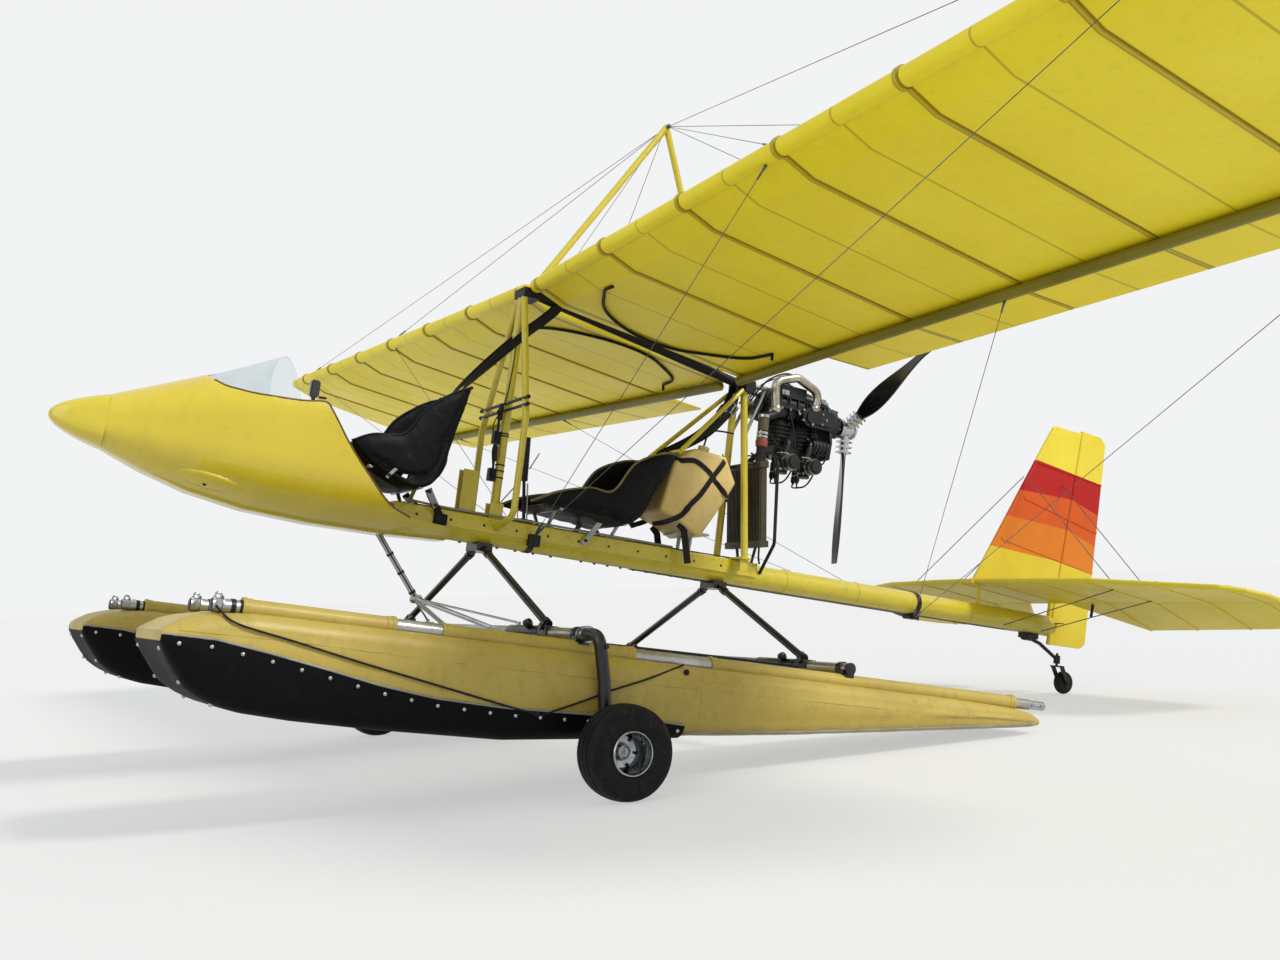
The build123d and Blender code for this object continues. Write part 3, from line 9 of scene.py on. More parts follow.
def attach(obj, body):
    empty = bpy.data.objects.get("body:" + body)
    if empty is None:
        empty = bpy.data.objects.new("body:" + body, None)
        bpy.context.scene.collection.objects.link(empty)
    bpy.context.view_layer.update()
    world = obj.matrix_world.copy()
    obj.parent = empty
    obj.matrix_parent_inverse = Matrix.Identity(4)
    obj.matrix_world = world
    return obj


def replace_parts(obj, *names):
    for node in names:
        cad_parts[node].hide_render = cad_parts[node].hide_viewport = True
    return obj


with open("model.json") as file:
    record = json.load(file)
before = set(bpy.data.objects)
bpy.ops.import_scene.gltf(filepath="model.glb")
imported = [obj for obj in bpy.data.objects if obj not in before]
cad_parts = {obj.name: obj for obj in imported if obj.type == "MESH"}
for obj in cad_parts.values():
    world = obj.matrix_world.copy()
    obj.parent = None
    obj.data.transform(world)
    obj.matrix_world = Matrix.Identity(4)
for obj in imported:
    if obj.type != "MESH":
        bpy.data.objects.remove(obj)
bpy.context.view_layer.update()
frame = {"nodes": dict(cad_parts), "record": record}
nodes = frame["nodes"]

# The aircraft's own datum, as the CAD has it: y along the boom, z up, mm, and the turn to the parked attitude.
PARK = math.radians(9.7)
SHIFT = -1321.6
DIHEDRAL = math.radians(2.25)


def W(x, y, z):
    """A point of the aircraft's datum (mm) in the part's frame (m)."""
    return Vector((x, SHIFT + y * math.cos(PARK) + z * math.sin(PARK),
                   -y * math.sin(PARK) + z * math.cos(PARK))) / 1000


def placed(name, data):
    """A new object of the scene."""
    ob = bpy.data.objects.new(name, data)
    bpy.context.collection.objects.link(ob)
    return ob


# Camera: fitted to the wing, rib, wheel and boom lines of the photograph. Angles in degrees, metres, pixels.
CAMERA_AT = (5.605, -3.7016, 0.835)
CAMERA_AZIMUTH, CAMERA_ELEVATION, CAMERA_ROLL = 59.37, -4.24, -2.19
FOCAL_PX, PICTURE_PX = 1281.7, 1280
SENSOR_MM = 36.0


def make_camera():
    """The photograph's own point of view."""
    az, el, roll = (math.radians(v) for v in (CAMERA_AZIMUTH, CAMERA_ELEVATION, CAMERA_ROLL))
    fwd = -Vector((math.sin(az) * math.cos(el), -math.cos(az) * math.cos(el), math.sin(el)))
    right = fwd.cross(Vector((0, 0, 1))).normalized()
    up = right.cross(fwd)
    r = math.cos(roll) * right + math.sin(roll) * up
    u = -math.sin(roll) * right + math.cos(roll) * up
    cam = placed("camera", bpy.data.cameras.new("camera"))
    cam.data.sensor_width = SENSOR_MM
    cam.data.lens = FOCAL_PX / PICTURE_PX * SENSOR_MM
    cam.data.clip_end = 200
    m = Matrix((r, u, -fwd)).transposed().to_4x4()
    m.translation = Vector(CAMERA_AT)
    cam.matrix_world = m
    bpy.context.scene.camera = cam


make_camera()


# materials
def hexcol(text, alpha=1.0):
    """sRGB hex to the linear colour that Blender's sockets take."""
    out = []
    for i in (0, 2, 4):
        c = int(text[i:i + 2], 16) / 255
        out.append(c / 12.92 if c <= 0.04045 else ((c + 0.055) / 1.055) ** 2.4)
    return (*out, alpha)


def add(tree, kind, inputs=(), links=(), **settings):
    """Adds a node with its settings, its input values and the links into it (source node, output, input)."""
    n = tree.nodes.new(kind)
    for key, value in settings.items():
        setattr(n, key, value)
    for key, value in dict(inputs).items():
        n.inputs[key].default_value = value
    for source, out, key in links:
        tree.links.new(source.outputs[out], n.inputs[key])
    return n


def calc(tree, operation, *terms):
    """A maths node. Each term is a number, a node, or a node and which of its outputs."""
    n = add(tree, "ShaderNodeMath", operation=operation)
    for socket, term in zip(n.inputs, terms):
        if isinstance(term, (int, float)):
            socket.default_value = term
        else:
            source, out = term if isinstance(term, tuple) else (term, 0)
            tree.links.new(source.outputs[out], socket)
    return n


def finish_of(name, colours, rough, metal=0.0, patch=0.3, grain=None, weave=None, brushed=None, coat=0.0,
              sheen=0.0, dirt=None, wear=0.08, pattern=None, transmission=0.0, ior=1.5, gloss=0.5):
    """A finish. colours: two close ones, mixed in patches of `patch` metres. grain, weave, brushed: (size in mm,
    depth in mm) of the fine relief. dirt: (colour, amount) gathered in small blotches. pattern: a function that
    takes the tree and the coordinates and gives the colour's node and output."""
    m = bpy.data.materials.new(name)
    m.use_nodes = True
    t = m.node_tree
    t.nodes.clear()
    where = add(t, "ShaderNodeTexCoord")
    patches = add(t, "ShaderNodeTexNoise", {"Scale": 1 / patch, "Detail": 6.0, "Roughness": 0.62},
                  [(where, "Object", "Vector")])
    spread = add(t, "ShaderNodeMapRange", {"From Min": 0.36, "From Max": 0.64}, [(patches, 0, 0)])
    first, second = (hexcol(c) for c in colours)
    tint = add(t, "ShaderNodeMix", {6: first, 7: second}, [(spread, 0, 0)], data_type="RGBA")
    if pattern:
        base = pattern(t, where)
        tint = add(t, "ShaderNodeMix", {0: 1.0}, [(base, 2, 6), (tint, 2, 7)], data_type="RGBA",
                   blend_type="MULTIPLY")
    if dirt:
        blotch = add(t, "ShaderNodeTexNoise", {"Scale": 22.0, "Detail": 8.0, "Roughness": 0.72},
                     [(where, "Object", "Vector")])
        edge = add(t, "ShaderNodeMapRange", {"From Min": 0.52, "From Max": 0.74, "To Max": dirt[1]},
                   [(blotch, 0, 0)])
        tint = add(t, "ShaderNodeMix", {7: hexcol(dirt[0])}, [(edge, 0, 0), (tint, 2, 6)], data_type="RGBA")
    shine = add(t, "ShaderNodeMapRange", {"From Min": 0.3, "From Max": 0.7, "To Min": max(0.02, rough - wear),
                                          "To Max": min(1.0, rough + wear)}, [(patches, 0, 0)])
    skin = add(t, "ShaderNodeBsdfPrincipled", {
        "Metallic": metal, "Coat Weight": coat, "Coat Roughness": 0.12, "Sheen Weight": sheen,
        "Transmission Weight": transmission, "IOR": ior, "Specular IOR Level": gloss},
        [(tint, 2, "Base Color"), (shine, 0, "Roughness")])
    relief = None
    if grain:
        fine = add(t, "ShaderNodeTexNoise", {"Scale": 1000 / grain[0], "Detail": 3.0},
                   [(where, "Object", "Vector")])
        relief = add(t, "ShaderNodeBump", {"Strength": 0.6, "Distance": grain[1] / 1000}, [(fine, 0, "Height")])
    if weave:
        # at scale 1 a wave texture repeats every 2 pi / 20 metres
        scale = 2 * math.pi / 20 / (weave[0] / 1000)
        waves = [add(t, "ShaderNodeTexWave", {"Scale": scale, "Distortion": 0.4, "Detail": 1.0,
                                              "Detail Scale": 2.0}, [(where, "Object", "Vector")],
                     wave_type="BANDS", bands_direction=d) for d in ("X", "Y", "Z")]
        three = calc(t, "ADD", calc(t, "ADD", (waves[0], 1), (waves[1], 1)), (waves[2], 1))
        extra = [(relief, 0, "Normal")] if relief else []
        relief = add(t, "ShaderNodeBump", {"Strength": 0.35, "Distance": weave[1] / 1000},
                     [(three, 0, "Height")] + extra)
    if brushed:
        long = add(t, "ShaderNodeMapping", {"Scale": (1.0, 0.04, 1.0)}, [(where, "Object", "Vector")])
        lines = add(t, "ShaderNodeTexNoise", {"Scale": 1000 / brushed[0], "Detail": 2.0}, [(long, 0, "Vector")])
        relief = add(t, "ShaderNodeBump", {"Strength": 0.3, "Distance": brushed[1] / 1000},
                     [(lines, 0, "Height")])
    if relief:
        t.links.new(relief.outputs[0], skin.inputs["Normal"])
    add(t, "ShaderNodeOutputMaterial", (), [(skin, 0, 0)])
    return m


def along(t, where, direction, offset=0.0):
    """How far (m) a surface point lies along a direction of the part's frame, as a node."""
    dot = add(t, "ShaderNodeVectorMath", {1: direction}, [(where, "Object", 0)], operation="DOT_PRODUCT")
    return calc(t, "ADD", (dot, "Value"), offset)


def datum_y(t, where):
    """The datum's y (m) of a surface point, as a node."""
    return along(t, where, (0, math.cos(PARK), -math.sin(PARK)), -SHIFT / 1000 * math.cos(PARK))


def datum_z(t, where):
    """The datum's z (m) of a surface point, as a node."""
    return along(t, where, (0, math.sin(PARK), math.cos(PARK)), -SHIFT / 1000 * math.sin(PARK))


# the wing's ribs, metres along the span, and the height about which the wing is raised
RIB_PITCH = 0.640
RIB_FIRST = 0.752
LE_Z = 2.286


def rib_painted_shadows(t, where):
    """White, with a painted shadow of the rib, as seen through the lit cloth, where a rib crosses the wing's cloth,
    and a darker line where a sewn seam crosses it.
    """
    span = add(t, "ShaderNodeSeparateXYZ", (), [(where, "Object", 0)])
    flat = calc(t, "MULTIPLY", calc(t, "ABSOLUTE", span), math.cos(DIHEDRAL))
    start = -LE_Z * math.sin(DIHEDRAL) - RIB_FIRST + RIB_PITCH * 4
    x = calc(t, "ADD", flat, calc(t, "MULTIPLY_ADD", datum_z(t, where), math.sin(DIHEDRAL), start))
    white = hexcol("ffffff")
    tone = None
    # the first line, as wide as a rib, is a painted shadow of the rib seen through the lit cloth; the second, thin
    # one is a sewn seam
    for pitch, half, colour in ((RIB_PITCH, 0.0125, "a8a080"), (RIB_PITCH / 2, 0.003, "cfc9ae")):
        near = calc(t, "PINGPONG", calc(t, "WRAP", x, pitch, 0.0), pitch / 2)
        line = add(t, "ShaderNodeMapRange", {"From Min": half, "From Max": half + 0.004, "To Min": 1.0,
                                             "To Max": 0.0}, [(near, 0, 0)])
        tone = add(t, "ShaderNodeMix", {6: white, 7: hexcol(colour)},
                   [(line, 0, 0)] + ([(tone, 2, 6)] if tone else []), data_type="RGBA")
    return tone


# the tail's stripes: lines (y0, z0, y1, z1) in metres of the datum; where a row has two, the lower one counts
STRIPES = [
    ("d8c338", [(3.154, 1.489, 3.690, 1.474), (3.690, 1.474, 4.030, 1.440)]),
    ("d67a1e", [(3.280, 1.693, 3.809, 1.682), (3.809, 1.682, 4.044, 1.622)]),
    ("cf5714", [(3.394, 1.868, 3.839, 1.880), (3.839, 1.880, 4.076, 1.821)]),
    ("b01410", [(3.534, 2.076, 4.089, 2.020)]),
    ("e6d340", None),
]


def tail_stripes(t, where):
    """Bands across the fin and the rudder, each above the last one's upper line."""
    y, z = datum_y(t, where), datum_z(t, where)
    tone = None
    for k in range(len(STRIPES) - 1):
        lows = []
        for y0, z0, y1, z1 in STRIPES[k][1]:
            slope = (z1 - z0) / (y1 - y0)
            lows.append(calc(t, "MULTIPLY_ADD", y, slope, z0 - slope * y0))
        line = calc(t, "MINIMUM", *lows) if len(lows) == 2 else lows[0]
        above = calc(t, "GREATER_THAN", z, line)
        tone = add(t, "ShaderNodeMix", {6: hexcol(STRIPES[0][0]), 7: hexcol(STRIPES[k + 1][0])},
                   [(above, 0, 0)] + ([(tone, 2, 6)] if tone else []), data_type="RGBA")
    return tone


# stage and light
def make_stage():
    """A pale studio floor that shows white to the camera, mirrors and glass, and keeps the object's shadow."""
    paint = bpy.data.materials.new("studio_floor_paint")
    paint.use_nodes = True
    t = paint.node_tree
    t.nodes.clear()
    path = add(t, "ShaderNodeLightPath")
    seen = calc(t, "MAXIMUM", (path, "Is Camera Ray"), (path, "Is Glossy Ray"))
    seen = calc(t, "MAXIMUM", seen, (path, "Is Transmission Ray"))
    matt = add(t, "ShaderNodeBsdfDiffuse", {"Color": hexcol("dcdcda")})
    glow = add(t, "ShaderNodeEmission", {"Color": hexcol("f4f5f6"), "Strength": 1.0})
    share = calc(t, "MULTIPLY", seen, 0.55)
    both = add(t, "ShaderNodeMixShader", (), [(share, 0, 0), (matt, 0, 1), (glow, 0, 2)])
    add(t, "ShaderNodeOutputMaterial", (), [(both, 0, 0)])
    me = bpy.data.meshes.new("floor")
    half = 60
    me.from_pydata([(-half, -half, 0), (half, -half, 0), (half, half, 0), (-half, half, 0)], [], [(0, 1, 2, 3)])
    me.materials.append(paint)
    floor = placed("floor", me)
    world = bpy.data.worlds.new("studio")
    bpy.context.scene.world = world
    world.use_nodes = True
    t = world.node_tree
    t.nodes.clear()
    path = add(t, "ShaderNodeLightPath")
    sky = add(t, "ShaderNodeBackground", {"Color": hexcol("e8ecf2"), "Strength": 0.7})
    white = add(t, "ShaderNodeBackground", {"Color": hexcol("f2f3f4"), "Strength": 1.0})
    seen = calc(t, "MAXIMUM", (path, "Is Camera Ray"), (path, "Is Transmission Ray"))
    seen = calc(t, "MAXIMUM", seen, (path, "Is Glossy Ray"))
    both = add(t, "ShaderNodeMixShader", (), [(seen, 0, 0), (sky, 0, 1), (white, 0, 2)])
    add(t, "ShaderNodeOutputWorld", (), [(both, 0, 0)])
    for name, energy, angle, turn, colour in (
            ("key", 2.4, 12, (48, 6, 118), "fffaf2"), ("fill", 0.5, 40, (62, 0, 20), "f4f7ff")):
        lamp = bpy.data.lights.new(name, "SUN")
        lamp.energy = energy
        lamp.angle = math.radians(angle)
        lamp.color = hexcol(colour)[:3]
        placed(name, lamp).rotation_euler = [math.radians(v) for v in turn]
    bpy.context.scene.view_settings.view_transform = "Standard"


make_stage()

# Finishes, by the record's material slot. The threads of the cloths are drawn at 3 to 4 mm, because the real
# 0.5 mm would not show.
FINISH = {
    # powder-coated aluminium tube: smooth yellow with a soft shine
    "boom_yellow": finish_of("powder_coated_yellow_tube", ("cdbd2c", "c2b126"), 0.34, patch=0.5, grain=(9, 0.05),
                             coat=0.3, dirt=("6e6420", 0.35)),
    # polished gelcoat over glass fibre: deep shine, a little orange peel
    "pod_gloss": finish_of("yellow_gelcoat", ("d3c02c", "c9b426"), 0.24, patch=0.8, grain=(22, 0.06), coat=0.5,
                           dirt=("8a7a2c", 0.2)),
    # moulded ABS: even black grain
    "panel_black": finish_of("moulded_black_abs", ("0c0d0e", "131416"), 0.55, patch=0.1, grain=(2.5, 0.12),
                             gloss=0.3),
    # resin-coated polyester sailcloth: yellow, its colour brightened as painted light for the sun shining through it;
    # painted shadows of the ribs and the sewn seams make darker lines
    "wing_fabric": finish_of("yellow_sailcloth_painted_glow", ("f3e01f", "ecd81b"), 0.5, patch=0.7, weave=(4, 0.12),
                             dirt=("b9a42c", 0.22), pattern=rib_painted_shadows),
    "tail_fabric": finish_of("tail_sailcloth", ("d6c42b", "cbb926"), 0.5, patch=0.5, weave=(4, 0.12),
                             dirt=("94852a", 0.25)),
    "rudder_fabric": finish_of("striped_tail_sailcloth", ("ffffff", "f1efe8"), 0.55, patch=0.5, weave=(4, 0.12),
                               gloss=0.25, pattern=tail_stripes),
    # painted aluminium spar tube: its colour darkened to dull olive as painted shade of the wing above it
    "spar_yellow": finish_of("yellow_tube_painted_shade", ("7c7318", "6d6514"), 0.46, patch=0.4, grain=(8, 0.04), gloss=0.3,
                             coat=0.1),
    # 7x7 stainless cable: grey, its twist too fine to show and so drawn at 4 mm
    "wire_steel": finish_of("stainless_cable", ("6b6e72", "505357"), 0.35, metal=0.9, patch=0.05, brushed=(4, 0.2)),
    # satin black paint on steel
    "bracket_black": finish_of("satin_black_steel", ("08090a", "101113"), 0.42, patch=0.12, grain=(5, 0.06),
                               gloss=0.3, dirt=("4a463f", 0.3)),
    # PVC-coated polyester of the floats: satin mustard, scuffed and dusty
    "float_skin": finish_of("coated_float_fabric", ("b7a24a", "a99441"), 0.46, patch=0.45, grain=(16, 0.25),
                            weave=(3, 0.06), dirt=("7a6c3c", 0.45)),
    # polyurethane rubbing sheet: dull black, scuffed grey by the ground
    "keel_rubber": finish_of("black_rubbing_sheet", ("030404", "060708"), 0.62, patch=0.25, grain=(7, 0.12),
                             gloss=0.1, dirt=("1c1d1e", 0.3), wear=0.1),
    # drawn aluminium tube, bare
    "float_alloy": finish_of("drawn_aluminium_tube", ("b4b6b6", "9a9c9c"), 0.34, metal=1.0, patch=0.15,
                             brushed=(1.5, 0.08), dirt=("7c7b76", 0.4)),
    # gloss paint on steel tube: black, with sharp highlights
    "strut_black": finish_of("black_painted_strut", ("050607", "0b0c0e"), 0.32, patch=0.2, grain=(6, 0.05),
                             gloss=0.4, coat=0.2, dirt=("3a3936", 0.25)),
    # tyre rubber: matt black, dusty
    "tyre_black": finish_of("tyre_rubber", ("050505", "0b0b0a"), 0.72, patch=0.05, grain=(4, 0.2), gloss=0.25,
                            dirt=("4b4740", 0.35)),
    # turned and polished alloy: mirrors its surroundings
    "rim_polished": finish_of("polished_alloy_rim", ("a9acaf", "8c8f92"), 0.16, metal=1.0, patch=0.03,
                              grain=(12, 0.05), dirt=("77756f", 0.35)),
    # woven nylon over foam: deep blue-black, soft sheen
    "seat_fabric": finish_of("blue_black_seat_nylon", ("020306", "05070e"), 0.55, patch=0.15, grain=(14, 0.7),
                             gloss=0.16, weave=(3, 0.2)),
    # mill-finish alloy sheet: pale grey, faintly brushed
    "bracket_grey": finish_of("bare_alloy_plate", ("a5a7a6", "8e908f"), 0.4, metal=0.9, patch=0.1,
                              brushed=(2, 0.08), dirt=("6a6862", 0.35)),
    # woven nylon webbing: matt black ribs across the strap
    "strap_black": finish_of("black_nylon_webbing", ("050506", "0a0a0b"), 0.7, patch=0.05, weave=(3, 0.4),
                             gloss=0.3, sheen=0.05),
    # rotomoulded polyethylene tank: cream, waxy, in patches of two close tones
    "tank_plastic": finish_of("cream_polyethylene", ("dcc682", "cdb068"), 0.42, patch=0.35, grain=(7, 0.2),
                              dirt=("9c8452", 0.3)),
    # painted brass core: brown, dusty between its fins
    "radiator_brown": finish_of("brown_radiator_core", ("3c3519", "2a2510"), 0.5, patch=0.08, grain=(4, 0.25),
                                dirt=("5d5432", 0.3)),
    # sand-cast aluminium, painted black, oily
    "engine_black": finish_of("black_sand_casting", ("060707", "121315"), 0.42, patch=0.06, grain=(4.5, 0.35),
                              gloss=0.4, dirt=("3a352d", 0.35), wear=0.14),
    # plated steel pipe: silver, browned by heat
    "exhaust_silver": finish_of("heat_tinted_steel", ("c0bbb0", "8f8778"), 0.3, metal=1.0, patch=0.08,
                                brushed=(3, 0.08), dirt=("6b5a44", 0.45)),
    # moulded rubber: black with a dull shine
    "hose_rubber": finish_of("black_coolant_rubber", ("060607", "0c0c0d"), 0.5, patch=0.1, grain=(4, 0.12),
                             gloss=0.35),
    # milled aluminium: bright, with tool marks
    "hub_silver": finish_of("machined_aluminium", ("c6c8ca", "b0b2b4"), 0.24, metal=1.0, patch=0.05,
                            brushed=(1.5, 0.05)),
    # gelcoat over carbon: smooth black under a clear coat
    "blade_black": finish_of("black_blade_gelcoat", ("050606", "0a0b0b"), 0.28, patch=0.2, grain=(14, 0.05),
                             gloss=0.4, coat=0.5),
    # cast acrylic sheet: clear. Its IOR is lower than acrylic's 1.49, because the thin wall is one closed solid
    "screen_clear": finish_of("clear_acrylic", ("f3f7f8", "e9eff0"), 0.05, patch=0.5, transmission=1.0, ior=1.1,
                              wear=0.02),
}
# Finishes of the scene's own small pieces: silicone and rubber hose, vinyl edge trim, PVC piping, glass over a
# dial, and a sewn cloth binding.
for slot_name, *look in (
        ("olive_hose", "olive_silicone_hose", ("5a5433", "48432a"), 0.5, {"patch": 0.06, "grain": (4, 0.2)}),
        ("red_hose", "red_brown_hose_end", ("8f452c", "743622"), 0.5, {"patch": 0.05, "grain": (4, 0.2)}),
        ("trim_brown", "brown_edge_trim", ("6b4a1e", "573b18"), 0.5, {"patch": 0.1, "grain": (4, 0.1)}),
        ("pipe_grey", "grey_piping", ("8d8c84", "7b7a72"), 0.55, {"patch": 0.1, "grain": (4, 0.2)}),
        ("dial_black", "dial_glass", ("0b0c0e", "101114"), 0.08, {"patch": 0.1, "coat": 0.8}),
        ("edge_tan", "tan_edge_binding", ("6f6844", "5f5939"), 0.7, {"patch": 0.1, "weave": (3, 0.3)})):
    FINISH[slot_name] = finish_of(*look[:3], **look[3])
for sub in frame["record"]["subparts"]:
    for slot in nodes[sub["node"]].material_slots:
        slot.material = FINISH[sub["material_slot"]]
for slot in nodes["fin"].material_slots:
    slot.material = FINISH["rudder_fabric"]


# making pieces: lists of points in the datum, mm
def circle(n, count=None):
    """Angles round a circle in n equal steps; count is one more than n where the first comes again at the end."""
    return [2 * math.pi * k / n for k in range(count or n)]


def lofted(rows, joined=False):
    """A closed skin through rows of as many points each, with flat ends, or with the last row joined to the first."""
    n, last = len(rows[0]), len(rows) - 1
    faces = []
    for k in range(len(rows) if joined else last):
        m = (k + 1) % len(rows)
        for j in range(n):
            i = (j + 1) % n
            faces.append((k * n + j, k * n + i, m * n + i, m * n + j))
    if not joined:
        faces += [tuple(reversed(range(n))), tuple(range(last * n, (last + 1) * n))]
    return [p for row in rows for p in row], faces


def directions(points):
    """The direction of a line at each of its points."""
    line = [points[0], *points, points[-1]]
    return [(b - a).normalized() for a, b in zip(line, line[2:])]


def evenly(lengths, n):
    """n even places along a line, from its length at each point: the point after the place, and the share of the
    way to it."""
    out = []
    for k in range(n):
        d = lengths[-1] * k / (n - 1)
        j = next((i for i in range(1, len(lengths)) if lengths[i] >= d - 1e-9), len(lengths) - 1)
        out.append((j, (d - lengths[j - 1]) / max(lengths[j] - lengths[j - 1], 1e-9)))
    return out


def tube(points, r, seg=12):
    """A round bar along points, with flat ends."""
    points = [Vector(p) for p in points]
    ways = directions(points)
    side = ways[0].orthogonal().normalized()
    rows = []
    for p, way in zip(points, ways):
        side = (side - way * side.dot(way)).normalized()
        other = way.cross(side)
        rows.append([p + r * (math.cos(t) * side + math.sin(t) * other) for t in circle(seg)])
    return lofted(rows)


def curved(points, steps=8):
    """The points joined by a smooth curve through each of them."""
    p = [Vector(v) for v in points]
    p = [2 * p[0] - p[1]] + p + [2 * p[-1] - p[-2]]
    out = []
    for k in range(1, len(p) - 2):
        for j in range(steps):
            u = j / steps
            out.append(0.5 * (2 * p[k] + (p[k + 1] - p[k - 1]) * u + (2 * p[k - 1] - 5 * p[k] + 4 * p[k + 1]
                       - p[k + 2]) * u * u + (3 * p[k] - p[k - 1] - 3 * p[k + 1] + p[k + 2]) * u ** 3))
    return out + [p[-2]]


def turned(profile, at, way, seg=24):
    """A turned part: (distance along way, radius) pairs about the line through `at`. It is a ring where neither
    end reaches the line."""
    at, way = Vector(at), Vector(way).normalized()
    side = way.orthogonal().normalized()
    other = way.cross(side)
    rows = [[at + d * way + max(r, 0.05) * (math.cos(t) * side + math.sin(t) * other) for t in circle(seg)]
            for d, r in profile]
    return lofted(rows, joined=profile[0][1] > 0.1 and profile[-1][1] > 0.1)


def sleeve(start, end, bore, r, at, way, seg=24):
    """A plain ring from start to end along way, or a plug where its bore is 0."""
    return turned([(start, bore), (start, r), (end, r), (end, bore)], at, way, seg)


def block(at, size, edge=2.0, turn=None):
    """A box with rounded edges; turn is a matrix about its middle."""
    bm = bmesh.new()
    bmesh.ops.create_cube(bm, size=1.0)
    for v in bm.verts:
        v.co = Vector([v.co[i] * size[i] for i in range(3)])
    bmesh.ops.bevel(bm, geom=bm.edges[:], offset=min(edge, min(size) * 0.3), segments=2, affect="EDGES")
    bm.verts.index_update()
    verts = [(turn @ v.co if turn else v.co.copy()) + Vector(at) for v in bm.verts]
    faces = [tuple(v.index for v in f.verts) for f in bm.faces]
    bm.free()
    return verts, faces


def band(points, wide, thick, across):
    """A flat strap along points; `across` is the direction of its width, one for all or one for each point."""
    points = [Vector(p) for p in points]
    many = isinstance(across, list)
    h, t = wide / 2, thick / 2
    rows = []
    for k, (p, way) in enumerate(zip(points, directions(points))):
        over = Vector(across[k] if many else across)
        over = (over - way * over.dot(way)).normalized()
        up = way.cross(over)
        rows.append([p + x * over + z * up for x, z in (
            (-h, -t * 0.5), (-h * 0.96, -t), (h * 0.96, -t), (h, -t * 0.5), (h, t * 0.5), (h * 0.96, t),
            (-h * 0.96, t), (-h, t * 0.5))])
    return lofted(rows)


def piece(name, parts, finish, body="airframe", sharp=40):
    """One object from several (points, faces), riding on a body. Edges sharper than `sharp` degrees stay sharp."""
    verts, faces = [], []
    for v, f in parts:
        base = len(verts)
        verts += [W(*p) for p in v]
        faces += [tuple(base + i for i in face) for face in f]
    me = bpy.data.meshes.new(name)
    me.from_pydata(verts, [], faces)
    bm = bmesh.new()
    bm.from_mesh(me)
    bmesh.ops.recalc_face_normals(bm, faces=bm.faces[:])
    bm.to_mesh(me)
    bm.free()
    me.shade_smooth()
    me.set_sharp_from_angle(angle=math.radians(sharp))
    me.materials.append(FINISH[finish])
    ob = placed(name, me)
    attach(ob, body)
    return ob


# floats: an inflated fabric body, and the tough sheet under its bow
FLOAT_X = 950.0
FLOAT_SECTIONS = [
    # y, bottom, top, half width
    (-1693.0, 402.0, 438.0, 244.0),
    (-1676.0, 366.0, 454.0, 252.0),
    (-1638.0, 314.0, 480.0, 258.0),
    (-1597.0, 268.0, 496.0, 262.0),
    (-1546.0, 237.0, 508.0, 265.0),
    (-1485.0, 214.0, 518.0, 268.0),
    (-1400.0, 198.0, 526.0, 270.0),
    (-1229.0, 186.0, 528.0, 272.0),
    (-926.0, 179.0, 528.0, 274.0),
    (-440.0, 180.0, 528.0, 276.0),
    (900.0, 290.0, 528.0, 274.0),
    (1800.0, 378.0, 526.0, 260.0),
    (2200.0, 420.0, 516.0, 246.0),
    (2330.0, 434.0, 500.0, 238.0),
    (2385.0, 446.0, 478.0, 226.0),
]
GUARD_LINE = [
    # y and z of the guard's upper edge
    (-1696.0, 424.0), (-1528.0, 424.0), (-1358.0, 400.0), (-1156.0, 366.0), (-949.0, 328.0), (-734.0, 302.0),
    (-460.0, 292.0), (100.0, 300.0), (330.0, 290.0),
]
HULL_CORNER = 62.0
PILLOW = 11.0             # how far the skin stands out between its seams
CREASE = 2.2              # height of the faint creases all over the skin
PUCKER, PUCKER_WIDE = 3.2, 95.0     # height of the puckers at a cross seam, and how far they reach
CROSS_SEAMS = [-1693.0, -738.0, 420.0, 1560.0, 2385.0]
SIDE_STEPS, TOP_STEPS, CORNER_STEPS = 8, 12, 6
ROUND_SIDE = slice(TOP_STEPS, TOP_STEPS + 2 * CORNER_STEPS + SIDE_STEPS + 1)   # a ring's points down one side
SHEET_OUT, SHEET_IN = 7.5, 2.0      # the rubbing sheet's two faces above the float's plain outline
SHEET_STEPS, KEEL_STEPS = 15, 4


def between(table, y):
    """The row of a table at y, straight from one row to the next."""
    rows = list(zip(table, table[1:]))
    for a, b in rows:
        if y <= b[0] or (a, b) == rows[-1]:
            u = min(1.0, max(0.0, (y - a[0]) / (b[0] - a[0])))
            return [p + (q - p) * u for p, q in zip(a[1:], b[1:])]


